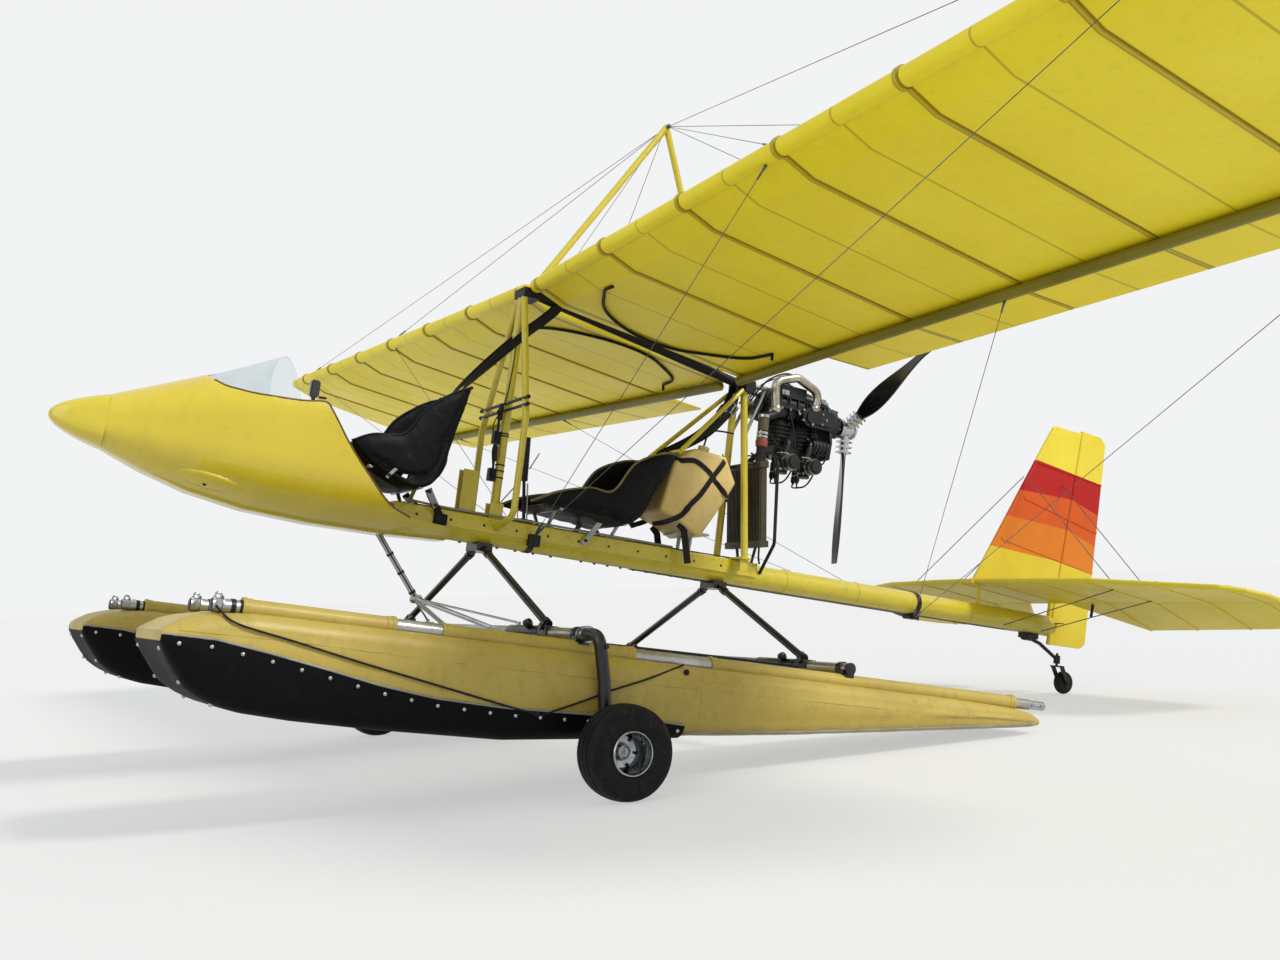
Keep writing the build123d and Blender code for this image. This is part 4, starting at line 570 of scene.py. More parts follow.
def hull_ring(y, grow=0.0):
    """The float's outline across, as (x, z) from the float's middle, round from the top's middle outwards."""
    low, high, half = between(FLOAT_SECTIONS, y)
    low, high, half = low - grow, high + grow, half + grow
    r = min(HULL_CORNER, 0.42 * (high - low))
    seam = min(abs(y - s) for s in CROSS_SEAMS)
    puff = PILLOW * min(1.0, 0.25 + seam / 260.0) * min(1.0, (high - low) / 200)
    ring = []
    for k in range(TOP_STEPS):
        u = k / TOP_STEPS
        ring.append(((half - r) * (2 * u - 1), high + 0.6 * puff * (1 - (2 * u - 1) ** 2)))
    for k in range(CORNER_STEPS):
        a = math.pi / 2 * (1 - k / CORNER_STEPS)
        ring.append((half - r + r * math.cos(a), high - r + r * math.sin(a)))
    for k in range(SIDE_STEPS):
        u = k / SIDE_STEPS
        ring.append((half + puff * (1 - (2 * u - 1) ** 2), high - r - u * (high - low - 2 * r)))
    for k in range(CORNER_STEPS):
        a = -math.pi / 2 * k / CORNER_STEPS
        ring.append((half - r + r * math.cos(a), low + r + r * math.sin(a)))
    for k in range(TOP_STEPS):
        u = k / TOP_STEPS
        ring.append(((half - r) * (1 - 2 * u), low - 0.3 * puff * (1 - (2 * u - 1) ** 2)))
    mirror = [(-x, z) for x, z in ring[TOP_STEPS:TOP_STEPS + 2 * CORNER_STEPS + SIDE_STEPS]]
    return ring + list(reversed(mirror))


def side_x(y, z, grow):
    """Half width of the float, grown all round, at a height on its side."""
    ring = hull_ring(y, grow)[ROUND_SIDE.start - 1:ROUND_SIDE.stop]
    for (x0, z0), (x1, z1) in zip(ring, ring[1:]):
        if z1 <= z <= z0:
            return x0 + (x1 - x0) * (z0 - z) / max(z0 - z1, 1e-6)
    return ring[0][0] if z > ring[0][1] else ring[-1][0]


def steps(a, b, pitch):
    """Even steps from a to b, about a pitch apart."""
    n = max(1, round(abs(b - a) / pitch))
    return [a + (b - a) * k / n for k in range(n + 1)]


def float_skin(side):
    """The inflated body: pillowed panels, faint creases, and a rounded stern."""
    rows = []
    bow, stern = -1697.0, 2392.0
    for y in [bow, -1693.0] + steps(-1685.0, -1400.0, 16) + steps(-1380.0, 2372.0, 20) + [2385.0, stern]:
        shrink = {bow: 0.93, stern: 0.94}.get(y, 1.0)
        low, high, half = between(FLOAT_SECTIONS, y)
        mid = (low + high) / 2
        row = []
        for x, z in hull_ring(y):
            p = Vector((side * (FLOAT_X + x * shrink), y, mid + (z - mid) * shrink))
            crease = noise.fractal(Vector((p.x * side / 160, y / 90, p.z / 130 + 7 * side)), 0.6, 2.1, 4) * CREASE
            pucker = math.exp(-(min(abs(y - v) for v in CROSS_SEAMS[1:4]) / PUCKER_WIDE) ** 2)
            crease += pucker * PUCKER * noise.noise(Vector((p.z / 26, y / 150, side * 3.0 + x / 60)))
            out = Vector((x, 0, z - mid)).normalized()
            row.append(p + Vector((side * out.x, 0, out.z)) * crease * (1.0 if shrink == 1.0 else 0.0))
        rows.append(row)
    return lofted(rows)


def guard_skin(side):
    """The rubbing sheet: a trough 5.5 mm thick from one side round the bottom to the other."""
    rows = []
    for y in steps(-1696.0, 330.0, 20):
        edge = min(between(GUARD_LINE, y)[0], between(FLOAT_SECTIONS, y)[1] - 4)
        row = []
        for grow in (SHEET_OUT, SHEET_IN):
            cut = [(side_x(y, edge, grow), edge)]
            cut += [(x, z) for x, z in hull_ring(y, grow)[ROUND_SIDE] if z < edge - 1]
            lengths = [0.0]
            for (x0, z0), (x1, z1) in zip(cut, cut[1:]):
                lengths.append(lengths[-1] + math.hypot(x1 - x0, z1 - z0))
            outer = [(cut[j - 1][0] + (cut[j][0] - cut[j - 1][0]) * u,
                      cut[j - 1][1] + (cut[j][1] - cut[j - 1][1]) * u) for j, u in evenly(lengths, SHEET_STEPS + 1)]
            x, z = outer[-1]
            path = outer + [(x * (1 - k / KEEL_STEPS), z - 1.2) for k in range(1, KEEL_STEPS + 1)]
            path += [(-x, z) for x, z in reversed(path[:-1])]
            points = [Vector((side * (FLOAT_X + x), y, z)) for x, z in path]
            row += points if grow == SHEET_OUT else list(reversed(points))
        rows.append(row)
    return lofted(rows)


def on_side(side, way, y, z, lift):
    """A point on the outer (way 1) or inner (way -1) side of a float, a lift above its skin."""
    return Vector((side * (FLOAT_X + way * side_x(y, z, lift)), y, z))


def tape(side, way, path, wide):
    """A welded tape along the side of a float: (y, z) points, laid on the skin, its edges sunk into it."""
    lift, sunk = 1.2, -2.0
    rows, dense = [], []
    for (y0, z0), (y1, z1) in zip(path, path[1:]):
        n = max(1, round(math.hypot(y1 - y0, z1 - z0) / 30))
        dense += [((y0 + (y1 - y0) * k / n), (z0 + (z1 - z0) * k / n)) for k in range(n)]
    dense.append(path[-1])
    for k, (y, z) in enumerate(dense):
        a, b = dense[max(k - 1, 0)], dense[min(k + 1, len(dense) - 1)]
        dy, dz = b[0] - a[0], b[1] - a[1]
        size = math.hypot(dy, dz)
        ny, nz = -dz / size * wide / 2, dy / size * wide / 2
        rows.append([on_side(side, way, y + ny * u, z + nz * u, h) for u, h in (
            (-1.0, sunk), (-0.92, lift), (-0.4, lift), (0.4, lift), (0.92, lift), (1.0, sunk))])
    return lofted(rows)


SIDES = (("left", 1), ("right", -1))
for tag, s in SIDES:
    skin = piece("float_skin_" + tag, [float_skin(s)], "float_skin", sharp=60)
    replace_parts(skin, "float_" + tag)
    sheet = piece("rubbing_sheet_" + tag, [guard_skin(s)], "keel_rubber", sharp=50)
    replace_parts(sheet, "keel_guard_" + tag)
    tapes, pale = [], []
    for way in (1, -1):
        tapes.append(tape(s, way, [(-1640, 458), (-1279, 462), (-738, 452), (-77, 451), (900, 455), (1800, 462),
                                   (2300, 474)], 34))
        for y, high, low in ((-738, 505, 300), (420, 505, 290), (1560, 498, 375)):
            tapes.append(tape(s, way, [(y, high), (y, low)], 46))
        edge = [(y, between(GUARD_LINE, y)[0]) for y in steps(-1688, 330, 40)]
        pale.append(tube([on_side(s, way, y, z + 1, 5.0) for y, z in edge], 4.2, 8))
        low = [(y, between(FLOAT_SECTIONS, y)[0] + 16) for y in steps(345, 2320, 60)]
        pale.append(tube([on_side(s, way, y, z, 0.0) for y, z in low], 6.5, 8))
    piece("seam_tapes_" + tag, tapes, "float_skin", sharp=50)
    piece("edge_piping_" + tag, pale, "pipe_grey")


# seats: a padded fabric sling with wings, from its middle line and the upper edge of its wings, both (y, z)
SEATS = {
    "front_seat": ([(-858, 1333), (-770, 1266), (-640, 1210), (-505, 1208), (-436, 1290), (-392, 1480),
                    (-345, 1690)],
                   [(-870, 1345), (-777, 1392), (-640, 1420), (-556, 1545), (-470, 1622), (-400, 1668),
                    (-337, 1694)]),
    "rear_seat": ([(120, 1226), (270, 1221), (400, 1216), (548, 1208), (628, 1274), (716, 1436), (798, 1590)],
                  [(12, 1222), (150, 1292), (314, 1338), (441, 1346), (549, 1500), (697, 1578), (800, 1596)]),
}
SEAT_HALF = 208.0
SEAT_THICK = 17.0
SEAT_ROWS, SEAT_POINTS = 40, 25
BINDING_R = 7.5
SWELL_FRAMES, SWELL_PRESSURE = 20, 4.0
# metres: between the points of the cloth, the most it swells, and how deep its folds and its wrinkles are
SEAT_MESH = 0.006
MOST_SWELL = 0.009
FOLD_DEEP, WRINKLE_DEEP = 0.0055, 0.0009


def table_curve(points, n):
    """n points evenly along a smooth curve through the given ones."""
    line = curved([(0, *p) for p in points], 12)
    total = [0.0]
    for a, b in zip(line, line[1:]):
        total.append(total[-1] + (b - a).length)
    return [line[j - 1].lerp(line[j], u) for j, u in evenly(total, n)]


def seat_half(k):
    """Half width of a seat's row: narrower at the front edge and towards the top of the back."""
    top = min(1.0, (SEAT_ROWS - 1 - k) / 5)
    return SEAT_HALF - 26 * (1 - top) ** 2 - 10 * max(0.0, 1 - k / 4) ** 2


def sling(name):
    """Both skins of a seat, as one closed shell: a trough whose sides rise to the wings' edge."""
    n = SEAT_ROWS
    floor, rim = (table_curve(line, n) for line in SEATS[name])
    sheets = []
    for depth in (0.5, -0.5):
        rows = []
        for k, way in enumerate(directions(floor)):
            up = Vector((0, -way.z, way.y))
            rise = rim[k] - floor[k]
            row = []
            for j in range(SEAT_POINTS):
                u = 2 * j / (SEAT_POINTS - 1) - 1
                flat = min(abs(u) / 0.62, 1.0)
                climb = max(0.0, (abs(u) - 0.5) / 0.5) ** 1.6
                x = math.copysign(seat_half(k) * math.sin(flat * math.pi / 2) ** 0.9, u) if u else 0.0
                dish = -9 * (1 - min(1.0, abs(u) / 0.6) ** 2) * math.sin(math.pi * k / (n - 1))
                p = floor[k] + rise * climb + up * dish
                out = Vector((-math.copysign(1, u) * min(1.0, climb * 1.4), up.y * (1 - climb), up.z * (1 - climb)))
                p = Vector((x, p.y, p.z)) + out.normalized() * SEAT_THICK * depth
                row.append(p)
            rows.append(row)
        sheets.append(rows)
    rows = [a + list(reversed(b)) for a, b in zip(*sheets)]
    return lofted(rows)


def padded_seat(name):
    """The sling, swelled by a cloth simulation, with folds pressed in and bound edges."""
    seat = piece(name + "_pad", [sling(name)], "seat_fabric", sharp=80)
    remesh = seat.modifiers.new("even_mesh", "REMESH")
    remesh.mode = "VOXEL"
    remesh.voxel_size = SEAT_MESH
    settle(seat)
    rest = [v.co.copy() for v in seat.data.vertices]
    cloth = seat.modifiers.new("swell", "CLOTH")
    cloth.settings.quality = 5
    cloth.settings.use_pressure = True
    cloth.settings.uniform_pressure_force = SWELL_PRESSURE
    cloth.settings.effector_weights.gravity = 0.0
    scene = bpy.context.scene
    cloth.point_cache.frame_start, cloth.point_cache.frame_end = 1, SWELL_FRAMES
    for f in range(1, SWELL_FRAMES + 1):
        scene.frame_set(f)
    depsgraph = bpy.context.evaluated_depsgraph_get()
    swelled = [v.co.copy() for v in seat.evaluated_get(depsgraph).data.vertices]
    seat.modifiers.clear()
    scene.frame_set(1)
    for v, a, b in zip(seat.data.vertices, rest, swelled):
        move = b - a
        if move.length > MOST_SWELL:
            move *= MOST_SWELL / move.length
        v.co = a + move
    me = seat.data
    normals = [v.normal.copy() for v in me.vertices]
    for v, n in zip(me.vertices, normals):
        p = v.co
        fold = noise.noise(Vector((p.x * 7, p.y * 11 + p.z * 6, p.z * 3)))
        crease = -abs(fold) ** 0.7 * FOLD_DEEP
        crease += noise.fractal(Vector((p.x * 30, p.y * 30, p.z * 30)), 0.7, 2.0, 3) * WRINKLE_DEEP
        v.co = p + n * crease
    sub = seat.modifiers.new("round", "SUBSURF")
    sub.levels = sub.render_levels = 1
    settle(seat)
    seat.data.shade_smooth()
    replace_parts(seat, name)
    floor, rim = (table_curve(line, SEAT_ROWS) for line in SEATS[name])
    bound = []
    for s in (-1, 1):
        line = []
        for k, p in enumerate(rim):
            line.append(Vector((s * (seat_half(k) - 3), p.y, p.z)) + (floor[k] - p).normalized() * 8)
        bound.append(tube(line, BINDING_R, 10))
    top = [Vector((x, rim[-1].y - 1, rim[-1].z - 4 * (x / SEAT_HALF) ** 2)) for x in steps(-180, 180, 24)]
    bound.append(tube(top, BINDING_R, 10))
    return bound


def settle(ob):
    """Turns an object's modifiers into its mesh."""
    depsgraph = bpy.context.evaluated_depsgraph_get()
    old = ob.data
    new = bpy.data.meshes.new_from_object(ob.evaluated_get(depsgraph))
    ob.modifiers.clear()
    ob.data = new
    new.name = old.name
    if not new.materials:
        new.materials.append(old.materials[0])
    bpy.data.meshes.remove(old)


front_edge = padded_seat("front_seat")
rear_edge = padded_seat("rear_seat")
piece("front_seat_binding", front_edge, "seat_fabric")
piece("rear_seat_binding", rear_edge, "edge_tan")


# what repeats: dome rivets along a line, and hexagon bolts at points, each made by a small node tree
def node_tree(name, sockets):
    """An empty tree that takes a mesh and the named values, and gives a mesh."""
    tree = bpy.data.node_groups.new(name, "GeometryNodeTree")
    for label, kind in (("Geometry", "NodeSocketGeometry"), *sockets):
        tree.interface.new_socket(label, in_out="INPUT", socket_type=kind)
    tree.interface.new_socket("Geometry", in_out="OUTPUT", socket_type="NodeSocketGeometry")
    return tree


def rivet_tree():
    """Domes of one radius along every line of the mesh, a pitch apart."""
    tree = node_tree("rivets_along_a_line", (("Pitch", "NodeSocketFloat"), ("Radius", "NodeSocketFloat"),
                                             ("Finish", "NodeSocketMaterial")))
    given = add(tree, "NodeGroupInput")
    line = add(tree, "GeometryNodeMeshToCurve", (), [(given, "Geometry", 0)])
    even = add(tree, "GeometryNodeResampleCurve", (), [(line, 0, "Curve"), (given, "Pitch", "Length")],
               mode="LENGTH")
    dome = add(tree, "GeometryNodeMeshIcoSphere", {"Subdivisions": 2}, [(given, "Radius", "Radius")])
    put = add(tree, "GeometryNodeInstanceOnPoints", (), [(even, 0, "Points"), (dome, 0, "Instance")])
    real = add(tree, "GeometryNodeRealizeInstances", (), [(put, 0, 0)])
    soft = add(tree, "GeometryNodeSetShadeSmooth", (), [(real, 0, 0)])
    paint = add(tree, "GeometryNodeSetMaterial", (), [(soft, 0, "Geometry"), (given, "Finish", "Material")])
    add(tree, "NodeGroupOutput", (), [(paint, 0, 0)])
    return tree


def bolt_tree():
    """Six-sided heads at every point of the mesh, standing along one direction."""
    tree = node_tree("bolt_heads", (("Direction", "NodeSocketVector"), ("Radius", "NodeSocketFloat"),
                                    ("Height", "NodeSocketFloat"), ("Finish", "NodeSocketMaterial")))
    given = add(tree, "NodeGroupInput")
    aim = add(tree, "FunctionNodeAlignRotationToVector", (), [(given, "Direction", "Vector")], axis="Z")
    head = add(tree, "GeometryNodeMeshCylinder", {"Vertices": 6}, [(given, "Radius", "Radius"),
                                                                   (given, "Height", "Depth")])
    put = add(tree, "GeometryNodeInstanceOnPoints", (), [(given, "Geometry", "Points"), (head, 0, "Instance"),
                                                         (aim, 0, "Rotation")])
    real = add(tree, "GeometryNodeRealizeInstances", (), [(put, 0, 0)])
    paint = add(tree, "GeometryNodeSetMaterial", (), [(real, 0, "Geometry"), (given, "Finish", "Material")])
    add(tree, "NodeGroupOutput", (), [(paint, 0, 0)])
    return tree


RIVETS, BOLTS = rivet_tree(), bolt_tree()


def repeated(name, tree, lines, values, finish, body="airframe", slot=None):
    """Runs a tree on lines of datum points (a line of one point is a lone place) and keeps the plain mesh."""
    verts, edges = [], []
    for line in lines:
        base = len(verts)
        verts += [W(*p) for p in line]
        edges += [(base + k, base + k + 1) for k in range(len(line) - 1)]
    me = bpy.data.meshes.new(name)
    me.from_pydata(verts, edges, [])
    ob = placed(name, me)
    mod = ob.modifiers.new("repeat", "NODES")
    mod.node_group = tree
    values = {**values, "Finish": FINISH[finish]}
    for item in tree.interface.items_tree:
        if item.in_out == "INPUT" and item.name in values:
            mod[item.identifier] = values[item.name]
    settle(ob)
    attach(ob, body)
    return ob


def turn_dir(x, y, z):
    """A direction of the datum in the part's frame."""
    return Vector((x, y * math.cos(PARK) + z * math.sin(PARK), -y * math.sin(PARK) + z * math.cos(PARK)))


def rivets(name, lines, pitch, radius, finish, **where):
    """Rows of dome rivets along lines, sizes in mm."""
    return repeated(name, RIVETS, lines, {"Pitch": pitch / 1000, "Radius": radius / 1000}, finish, **where)


def bolts(name, points, way, radius, height, finish, **where):
    """Bolt heads at points, standing along way, sizes in mm."""
    return repeated(name, BOLTS, [[p] for p in points], {"Direction": turn_dir(*way), "Radius": radius / 1000,
                                                         "Height": height / 1000}, finish, **where)


# rivets that hold the rubbing sheets, and the ropes and tube ends of the floats
for tag, s in SIDES:
    lines = []
    for way in (1, -1):
        lines.append([on_side(s, way, y, min(between(GUARD_LINE, y)[0], 424) - 24, 8.0)
                      for y in steps(-1640, 300, 20)])
        lines.append([Vector((s * (FLOAT_X + way * (between(FLOAT_SECTIONS, y)[2] - 46)), y,
                              between(FLOAT_SECTIONS, y)[0] - 8)) for y in steps(-1686, -1500, 12)])
    rivets("sheet_rivets_" + tag, lines, 98, 8.5, "float_alloy")
TUBE_Z = 540.0
TUBE_OFFSET = 178.0       # from the float's middle
TUBE_XS = [s * (FLOAT_X + o) for s in (1, -1) for o in (TUBE_OFFSET, -TUBE_OFFSET)]
ends_black, ends_bright, bolt_at = [], [], []
for x in TUBE_XS:
    ends_black.append(sleeve(0, 16, 25.2, 28, (x, -1478, TUBE_Z), (0, 1, 0), 28))
    ends_black.append(sleeve(0, 9, 25.2, 27.5, (x, -1448, TUBE_Z), (0, 1, 0), 28))
    ends_black.append(turned([(-3, 0), (-3, 20), (0, 24.6), (2, 24.6), (2, 0)], (x, -1540, TUBE_Z), (0, 1, 0), 28))
    ends_bright.append(sleeve(0, 3, 24, 35, (x, -1508, TUBE_Z), (0, 1, 0), 28))
    for q in (-1, 1):
        ends_bright.append(turned([(0, 0), (0, 13), (4, 13), (4, 8), (15, 8), (15, 0)],
                                  (x + q * 24, -1522, TUBE_Z + 4), (q, 0, 0), 18))
    eye = [(x, -1522 + 11 * math.sin(t), TUBE_Z + 32 + 11 * math.cos(t)) for t in circle(16, 17)]
    ends_bright.append(tube(eye, 4.5, 8))
    bolt_at += [(x + math.copysign(24, x), y, TUBE_Z) for y in (2358.0, 2420.0)]
piece("float_tube_bands", ends_black, "bracket_black")
piece("float_tube_ends", ends_bright, "float_alloy")
bolts("float_tube_bolts", bolt_at, (1, 0, 0), 8, 9, "float_alloy")

# sleeve collars, saddle clamps and the black grips of the cross beams
collars, alloy, beam_black = [], [], []
for x in TUBE_XS:
    for y in (-1440.0, -890.0, -711.0, 113.0, 481.0, 2240.0):
        collars.append(turned([(-8, 34.5), (-8, 37.5), (-3, 38.5), (3, 38.5), (8, 37.5), (8, 34.5)],
                              (x, y + (8 if y in (-1440.0, -711.0, 481.0) else -8), TUBE_Z), (0, 1, 0), 28))
    for y in (-846.0, -754.0, 156.0, 438.0):
        alloy.append(sleeve(-5, 5, 31, 32.6, (x, y, TUBE_Z), (0, 1, 0), 28))
BEAM_Z = 599.0
FRONT_BEAM_Y, REAR_BEAM_Y = -125.0, 1210.0
for y in (FRONT_BEAM_Y, REAR_BEAM_Y):
    for s in (-1, 1):
        beam_black.append(turned([(0, 25), (0, 29), (6, 30), (300, 30), (306, 29), (306, 25)], (s * 470, y, BEAM_Z),
                                 (s, 0, 0), 28))
        beam_black.append(sleeve(0, 26, 25, 31, (s * 1088, y, BEAM_Z), (s, 0, 0), 28))
        if y == FRONT_BEAM_Y:
            alloy.append(sleeve(0, 9, 25, 33, (s * 1140, y, BEAM_Z), (s, 0, 0), 28))
        for x in TUBE_XS:
            if x * s > 0:
                beam_black.append(block((x, y, TUBE_Z + 20), (56, 64, 78), 8))
                alloy.append(sleeve(0, 8, 0, 9, (x, y + 24, BEAM_Z - 2), (0, 0, 1), 6))
        beam_black.append(turned([(0, 0), (0, 12), (10, 20), (26, 22), (38, 16), (42, 0)],
                                 (s * 690, y - 16, BEAM_Z + 18), (0, -0.6, 0.8), 20))
piece("sleeve_collars", collars, "float_skin")
piece("beam_clamps_bright", alloy, "float_alloy")
piece("beam_grips_black", beam_black, "strut_black")

# ropes along the outer sides of the floats, taut between their cleats
for tag, s in SIDES:
    runs = []
    for path in ([(-1470, 486), (-1279, 449), (-1030, 401), (-750, 352), (-480, 304), (-330, 281)],
                 [(-312, 279), (-160, 340), (-25, 398), (130, 455), (319, 529)]):
        line = [on_side(s, 1, y, z, 7.0) for y, z in path]
        if path[0][0] < -1400:
            line.insert(0, Vector((s * (FLOAT_X + TUBE_OFFSET + 30), -1530, 536)))
        runs.append(tube(curved(line, 6), 4.0, 8))
    for y, z in ((-330, 281), (319, 529)):
        p = on_side(s, 1, y, min(z, 500), 2.0)
        runs.append(turned([(0, 12), (6, 12), (10, 7), (12, 0)], p, (s, 0, 0), 16))
    piece("side_ropes_" + tag, runs, "strap_black")

# main gear: collar rings and a hanging shackle at each leg's head
rings, shackles = [], []
for s in (-1, 1):
    rings.append(sleeve(0, 14, 25, 34, (s * 1168, -124, BEAM_Z + 2), (s, 0, 0), 28))
    rings.append(turned([(-8, 12), (-8, 30), (0, 32), (6, 30), (6, 12)], (s * 1276, -34, 188), (s, 0, 0), 24))
    loop = [(s * 1118, -150 + 15 * math.sin(a), 548 - 24 * math.cos(a)) for a in circle(20, 21)]
    shackles.append(tube(loop, 4, 8))
piece("gear_rings", rings, "rim_polished")
piece("gear_shackles", shackles, "float_alloy")

# wheels: tyres with tread grooves and a shoulder line, and rims with a deep dish. Each profile is (distance out
# along the axle, radius); the tread's mirrors itself about the middle groove.
TREAD_HALF = [(-54, 82), (-60, 84), (-64, 94), (-69, 112), (-72, 126), (-74, 140), (-72.5, 152), (-70, 158),
              (-69, 156.5), (-68, 160), (-63, 169), (-54, 174), (-40, 177), (-32, 178), (-31, 173.5), (-27, 173.5),
              (-26, 178.8), (-12, 179.8), (-3, 180), (-2, 175.4)]
TREAD = TREAD_HALF + [(-x, r) for x, r in reversed(TREAD_HALF)] + [(52, 80), (-52, 80)]
RIM = [(56, 78), (60, 84), (64, 85), (67, 82), (66, 78), (60, 75), (30, 71), (4, 70), (-12, 66), (-21, 58), (-25, 44),
       (-27, 34), (-20, 30), (-6, 28), (0, 25), (2, 20), (-2, 17), (-2, 12.4), (-40, 12.4), (-44, 56), (-56, 76),
       (-62, 84)]
VALVE_TURN = 0.6
for tag, s in SIDES:
    c, out, body = Vector((1400.0 * s, -30.33, 177.43)), (s, 0, 0), "wheel_" + tag
    tyre = piece("tyre_tread_" + tag, [turned(TREAD, c, out, 72)], "tyre_black", body=body, sharp=32)
    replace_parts(tyre, "tyre_" + tag)
    rim = piece("rim_dish_" + tag, [turned(RIM, c, out, 72)], "rim_polished", body=body, sharp=30)
    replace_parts(rim, "rim_" + tag)
    piece("hub_cap_" + tag, [turned([(-4, 0), (-4, 16), (1, 15), (2, 0)], c, out, 28),
                             turned([(0, 0), (0, 9), (8, 8), (9, 0)], c, out, 6)], "bracket_grey", body=body)
    valve = c + Vector((s * 8, 64 * math.cos(VALVE_TURN), 64 * math.sin(VALVE_TURN)))
    piece("rim_lip_" + tag, [turned([(0, 4), (16, 4), (16, 5), (24, 5), (25, 0)], valve, (s, 0.3, 0.2), 12)],
          "rim_polished", body=body)
    ring = [tuple(c + Vector((s * -20, 52 * math.cos(a), 52 * math.sin(a)))) for a in circle(6)]
    bolts("rim_bolts_" + tag, ring, out, 6.5, 10, "bracket_black", body=body)


# webbing: shoulder straps, tank straps and the lap belts' ends
def root_z(y):
    """Height of the root tube's middle."""
    return 2262 + (y - 5) * (2075 - 2262) / 1265


HARNESS_WIDE = 47
TANK_STRAP_WIDE = 27
harness, buckles = [], []
for s in (-1, 1):
    top = [(58 * s, -342, 1696), (56 * s, -322, 1722), (50 * s, -215, 1852), (42 * s, -60, 2030), (34 * s, 60, 2150),
           (28 * s, 124, root_z(124) - 20), (14 * s, 140, root_z(140) + 24), (0, 144, root_z(144) + 29)]
    low = [(46 * s, 800, 1584), (46 * s, 815, 1618), (52 * s, 930, 1680), (56 * s, 1050, 1765), (54 * s, 1130, 1850),
           (48 * s, 1193, 1930), (34 * s, 1222, 2020), (22 * s, 1228, root_z(1228) - 24),
           (8 * s, 1232, root_z(1228) + 27)]
    for path, last, count in ((top, (0.35, -0.6, 0.7), 16), (low, (0.4, -0.7, 0.6), 12)):
        line = curved(path, 6)
        over = [Vector((1, 0, 0)).lerp(Vector(last), min(1.0, k / count)) for k in range(len(line))]
        harness.append(band(line, HARNESS_WIDE, 3, over))
    aim, at = Matrix.Rotation(math.radians(58), 3, "X"), Vector((50 * s, 1190, 1922))
    buckles.append(block(at, (8, 62, 8), 2, aim))
    for q in (-1, 1):
        buckles.append(block(at + aim @ Vector((0, 0, 24 * q)), (10, 60, 6), 2, aim))
        buckles.append(block(at + aim @ Vector((0, 28 * q, 0)), (10, 6, 52), 2, aim))
straps = piece("shoulder_straps", harness, "strap_black", sharp=50)
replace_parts(straps, "harness_straps")
piece("strap_buckles", buckles, "rim_polished")

TANK_X = 153.5
tank = []
for s in (-1, 1):
    face = TANK_X * s
    a = [(face * 0.6, 800, 1594), (face, 836, 1569), (face, 925, 1582), (face, 1016, 1541), (face, 1065, 1493),
         (face, 1152, 1424), (face * 0.7, 1172, 1414)]
    b = [(face * 0.7, 742, 1232), (face, 770, 1240), (face, 870, 1289), (face, 928, 1360), (face, 981, 1421),
         (face, 1043, 1520), (face, 1100, 1606), (face * 0.75, 1118, 1650)]
    for run in (a, b):
        across = (0, -0.7, 0.7) if run is a else (0, 0.75, -0.66)
        tank.append(band(curved(run, 6), TANK_STRAP_WIDE, 3, across))
    tank.append(block((face + 2 * s, 905, 1330), (10, 34, 30), 3, Matrix.Rotation(math.radians(50), 3, "X")))
    tank.append(band([(face * 0.85, 880, 1252), (face * 0.86, 915, 1220), (face * 0.87, 955, 1060)], 40, 3,
                     (0, 1, 0.25)))
    lap = [(150 * s, -470, 1196), (136 * s, -450, 1170), (100 * s, -398, 1120), (80 * s, -372, 1092)]
    tank.append(band(lap, 34, 4, (0.2, 0.75, 0.6)))
    tank.append(block((76 * s, -366, 1080), (14, 66, 52), 4))
piece("tank_and_lap_straps", tank, "strap_black")

plates, plate_bolts = [], []
for s in (-1, 1):
    for (y0, z0), (y1, z1), x0, x1, wide in (((-597, 1326), (-690, 1206), 214, 206, 15),
                                             ((-468, 1190), (-408, 1128), 152, 112, 33),
                                             ((478, 1246), (376, 1076), 118, 84, 27)):
        plates.append(band([(x0 * s, y0, z0), (x1 * s, y1, z1)], wide, 4, (0, z1 - z0, y0 - y1)))
        plate_bolts += [(s * (x0 + (x1 - x0) * u + 3), y0 + (y1 - y0) * u, z0 + (z1 - z0) * u)
                        for u in (0.08, 0.9)]
piece("strap_plates", plates, "bracket_grey")
bolts("strap_plate_bolts", plate_bolts, (1, 0, 0), 8, 14, "bracket_black")

# loose web on the underside of the wing's root, held at both ends against the cloth
webs = []
for s in (-1, 1):
    path = [(537, 142), (470, 140), (395, 175), (280, 240), (190, 340), (120, 480), (96, 618), (120, 750), (192, 863),
            (347, 1037), (517, 1081)]
    # the cloth's underside falls to the rear and rises outwards; the web's middle lies 8 mm below it
    line = [(x * s, y, 2212 + (y - 123) * -0.1128 + x * 0.0393 - 8) for x, y in path]
    webs.append(tube(curved(line, 5), 8, 8))
    webs.append(block((519 * s, 1083, line[-1][2] - 12), (12, 14, 40), 3))
piece("root_web", webs, "strap_black")


def rounded(points, r):
    """The points with their corners rounded."""
    p = [Vector(v) for v in points]
    out = [p[0]]
    for a, b, c in zip(p, p[1:], p[2:]):
        d, e = (a - b).normalized(), (c - b).normalized()
        cut = min(r / math.tan(d.angle(e) / 2), (a - b).length * 0.49, (c - b).length * 0.49)
        start, end = b + d * cut, b + e * cut
        out += [start.lerp(b, u).lerp(b.lerp(end, u), u) for u in [k / 8 for k in range(9)]]
    return out + [p[-1]]


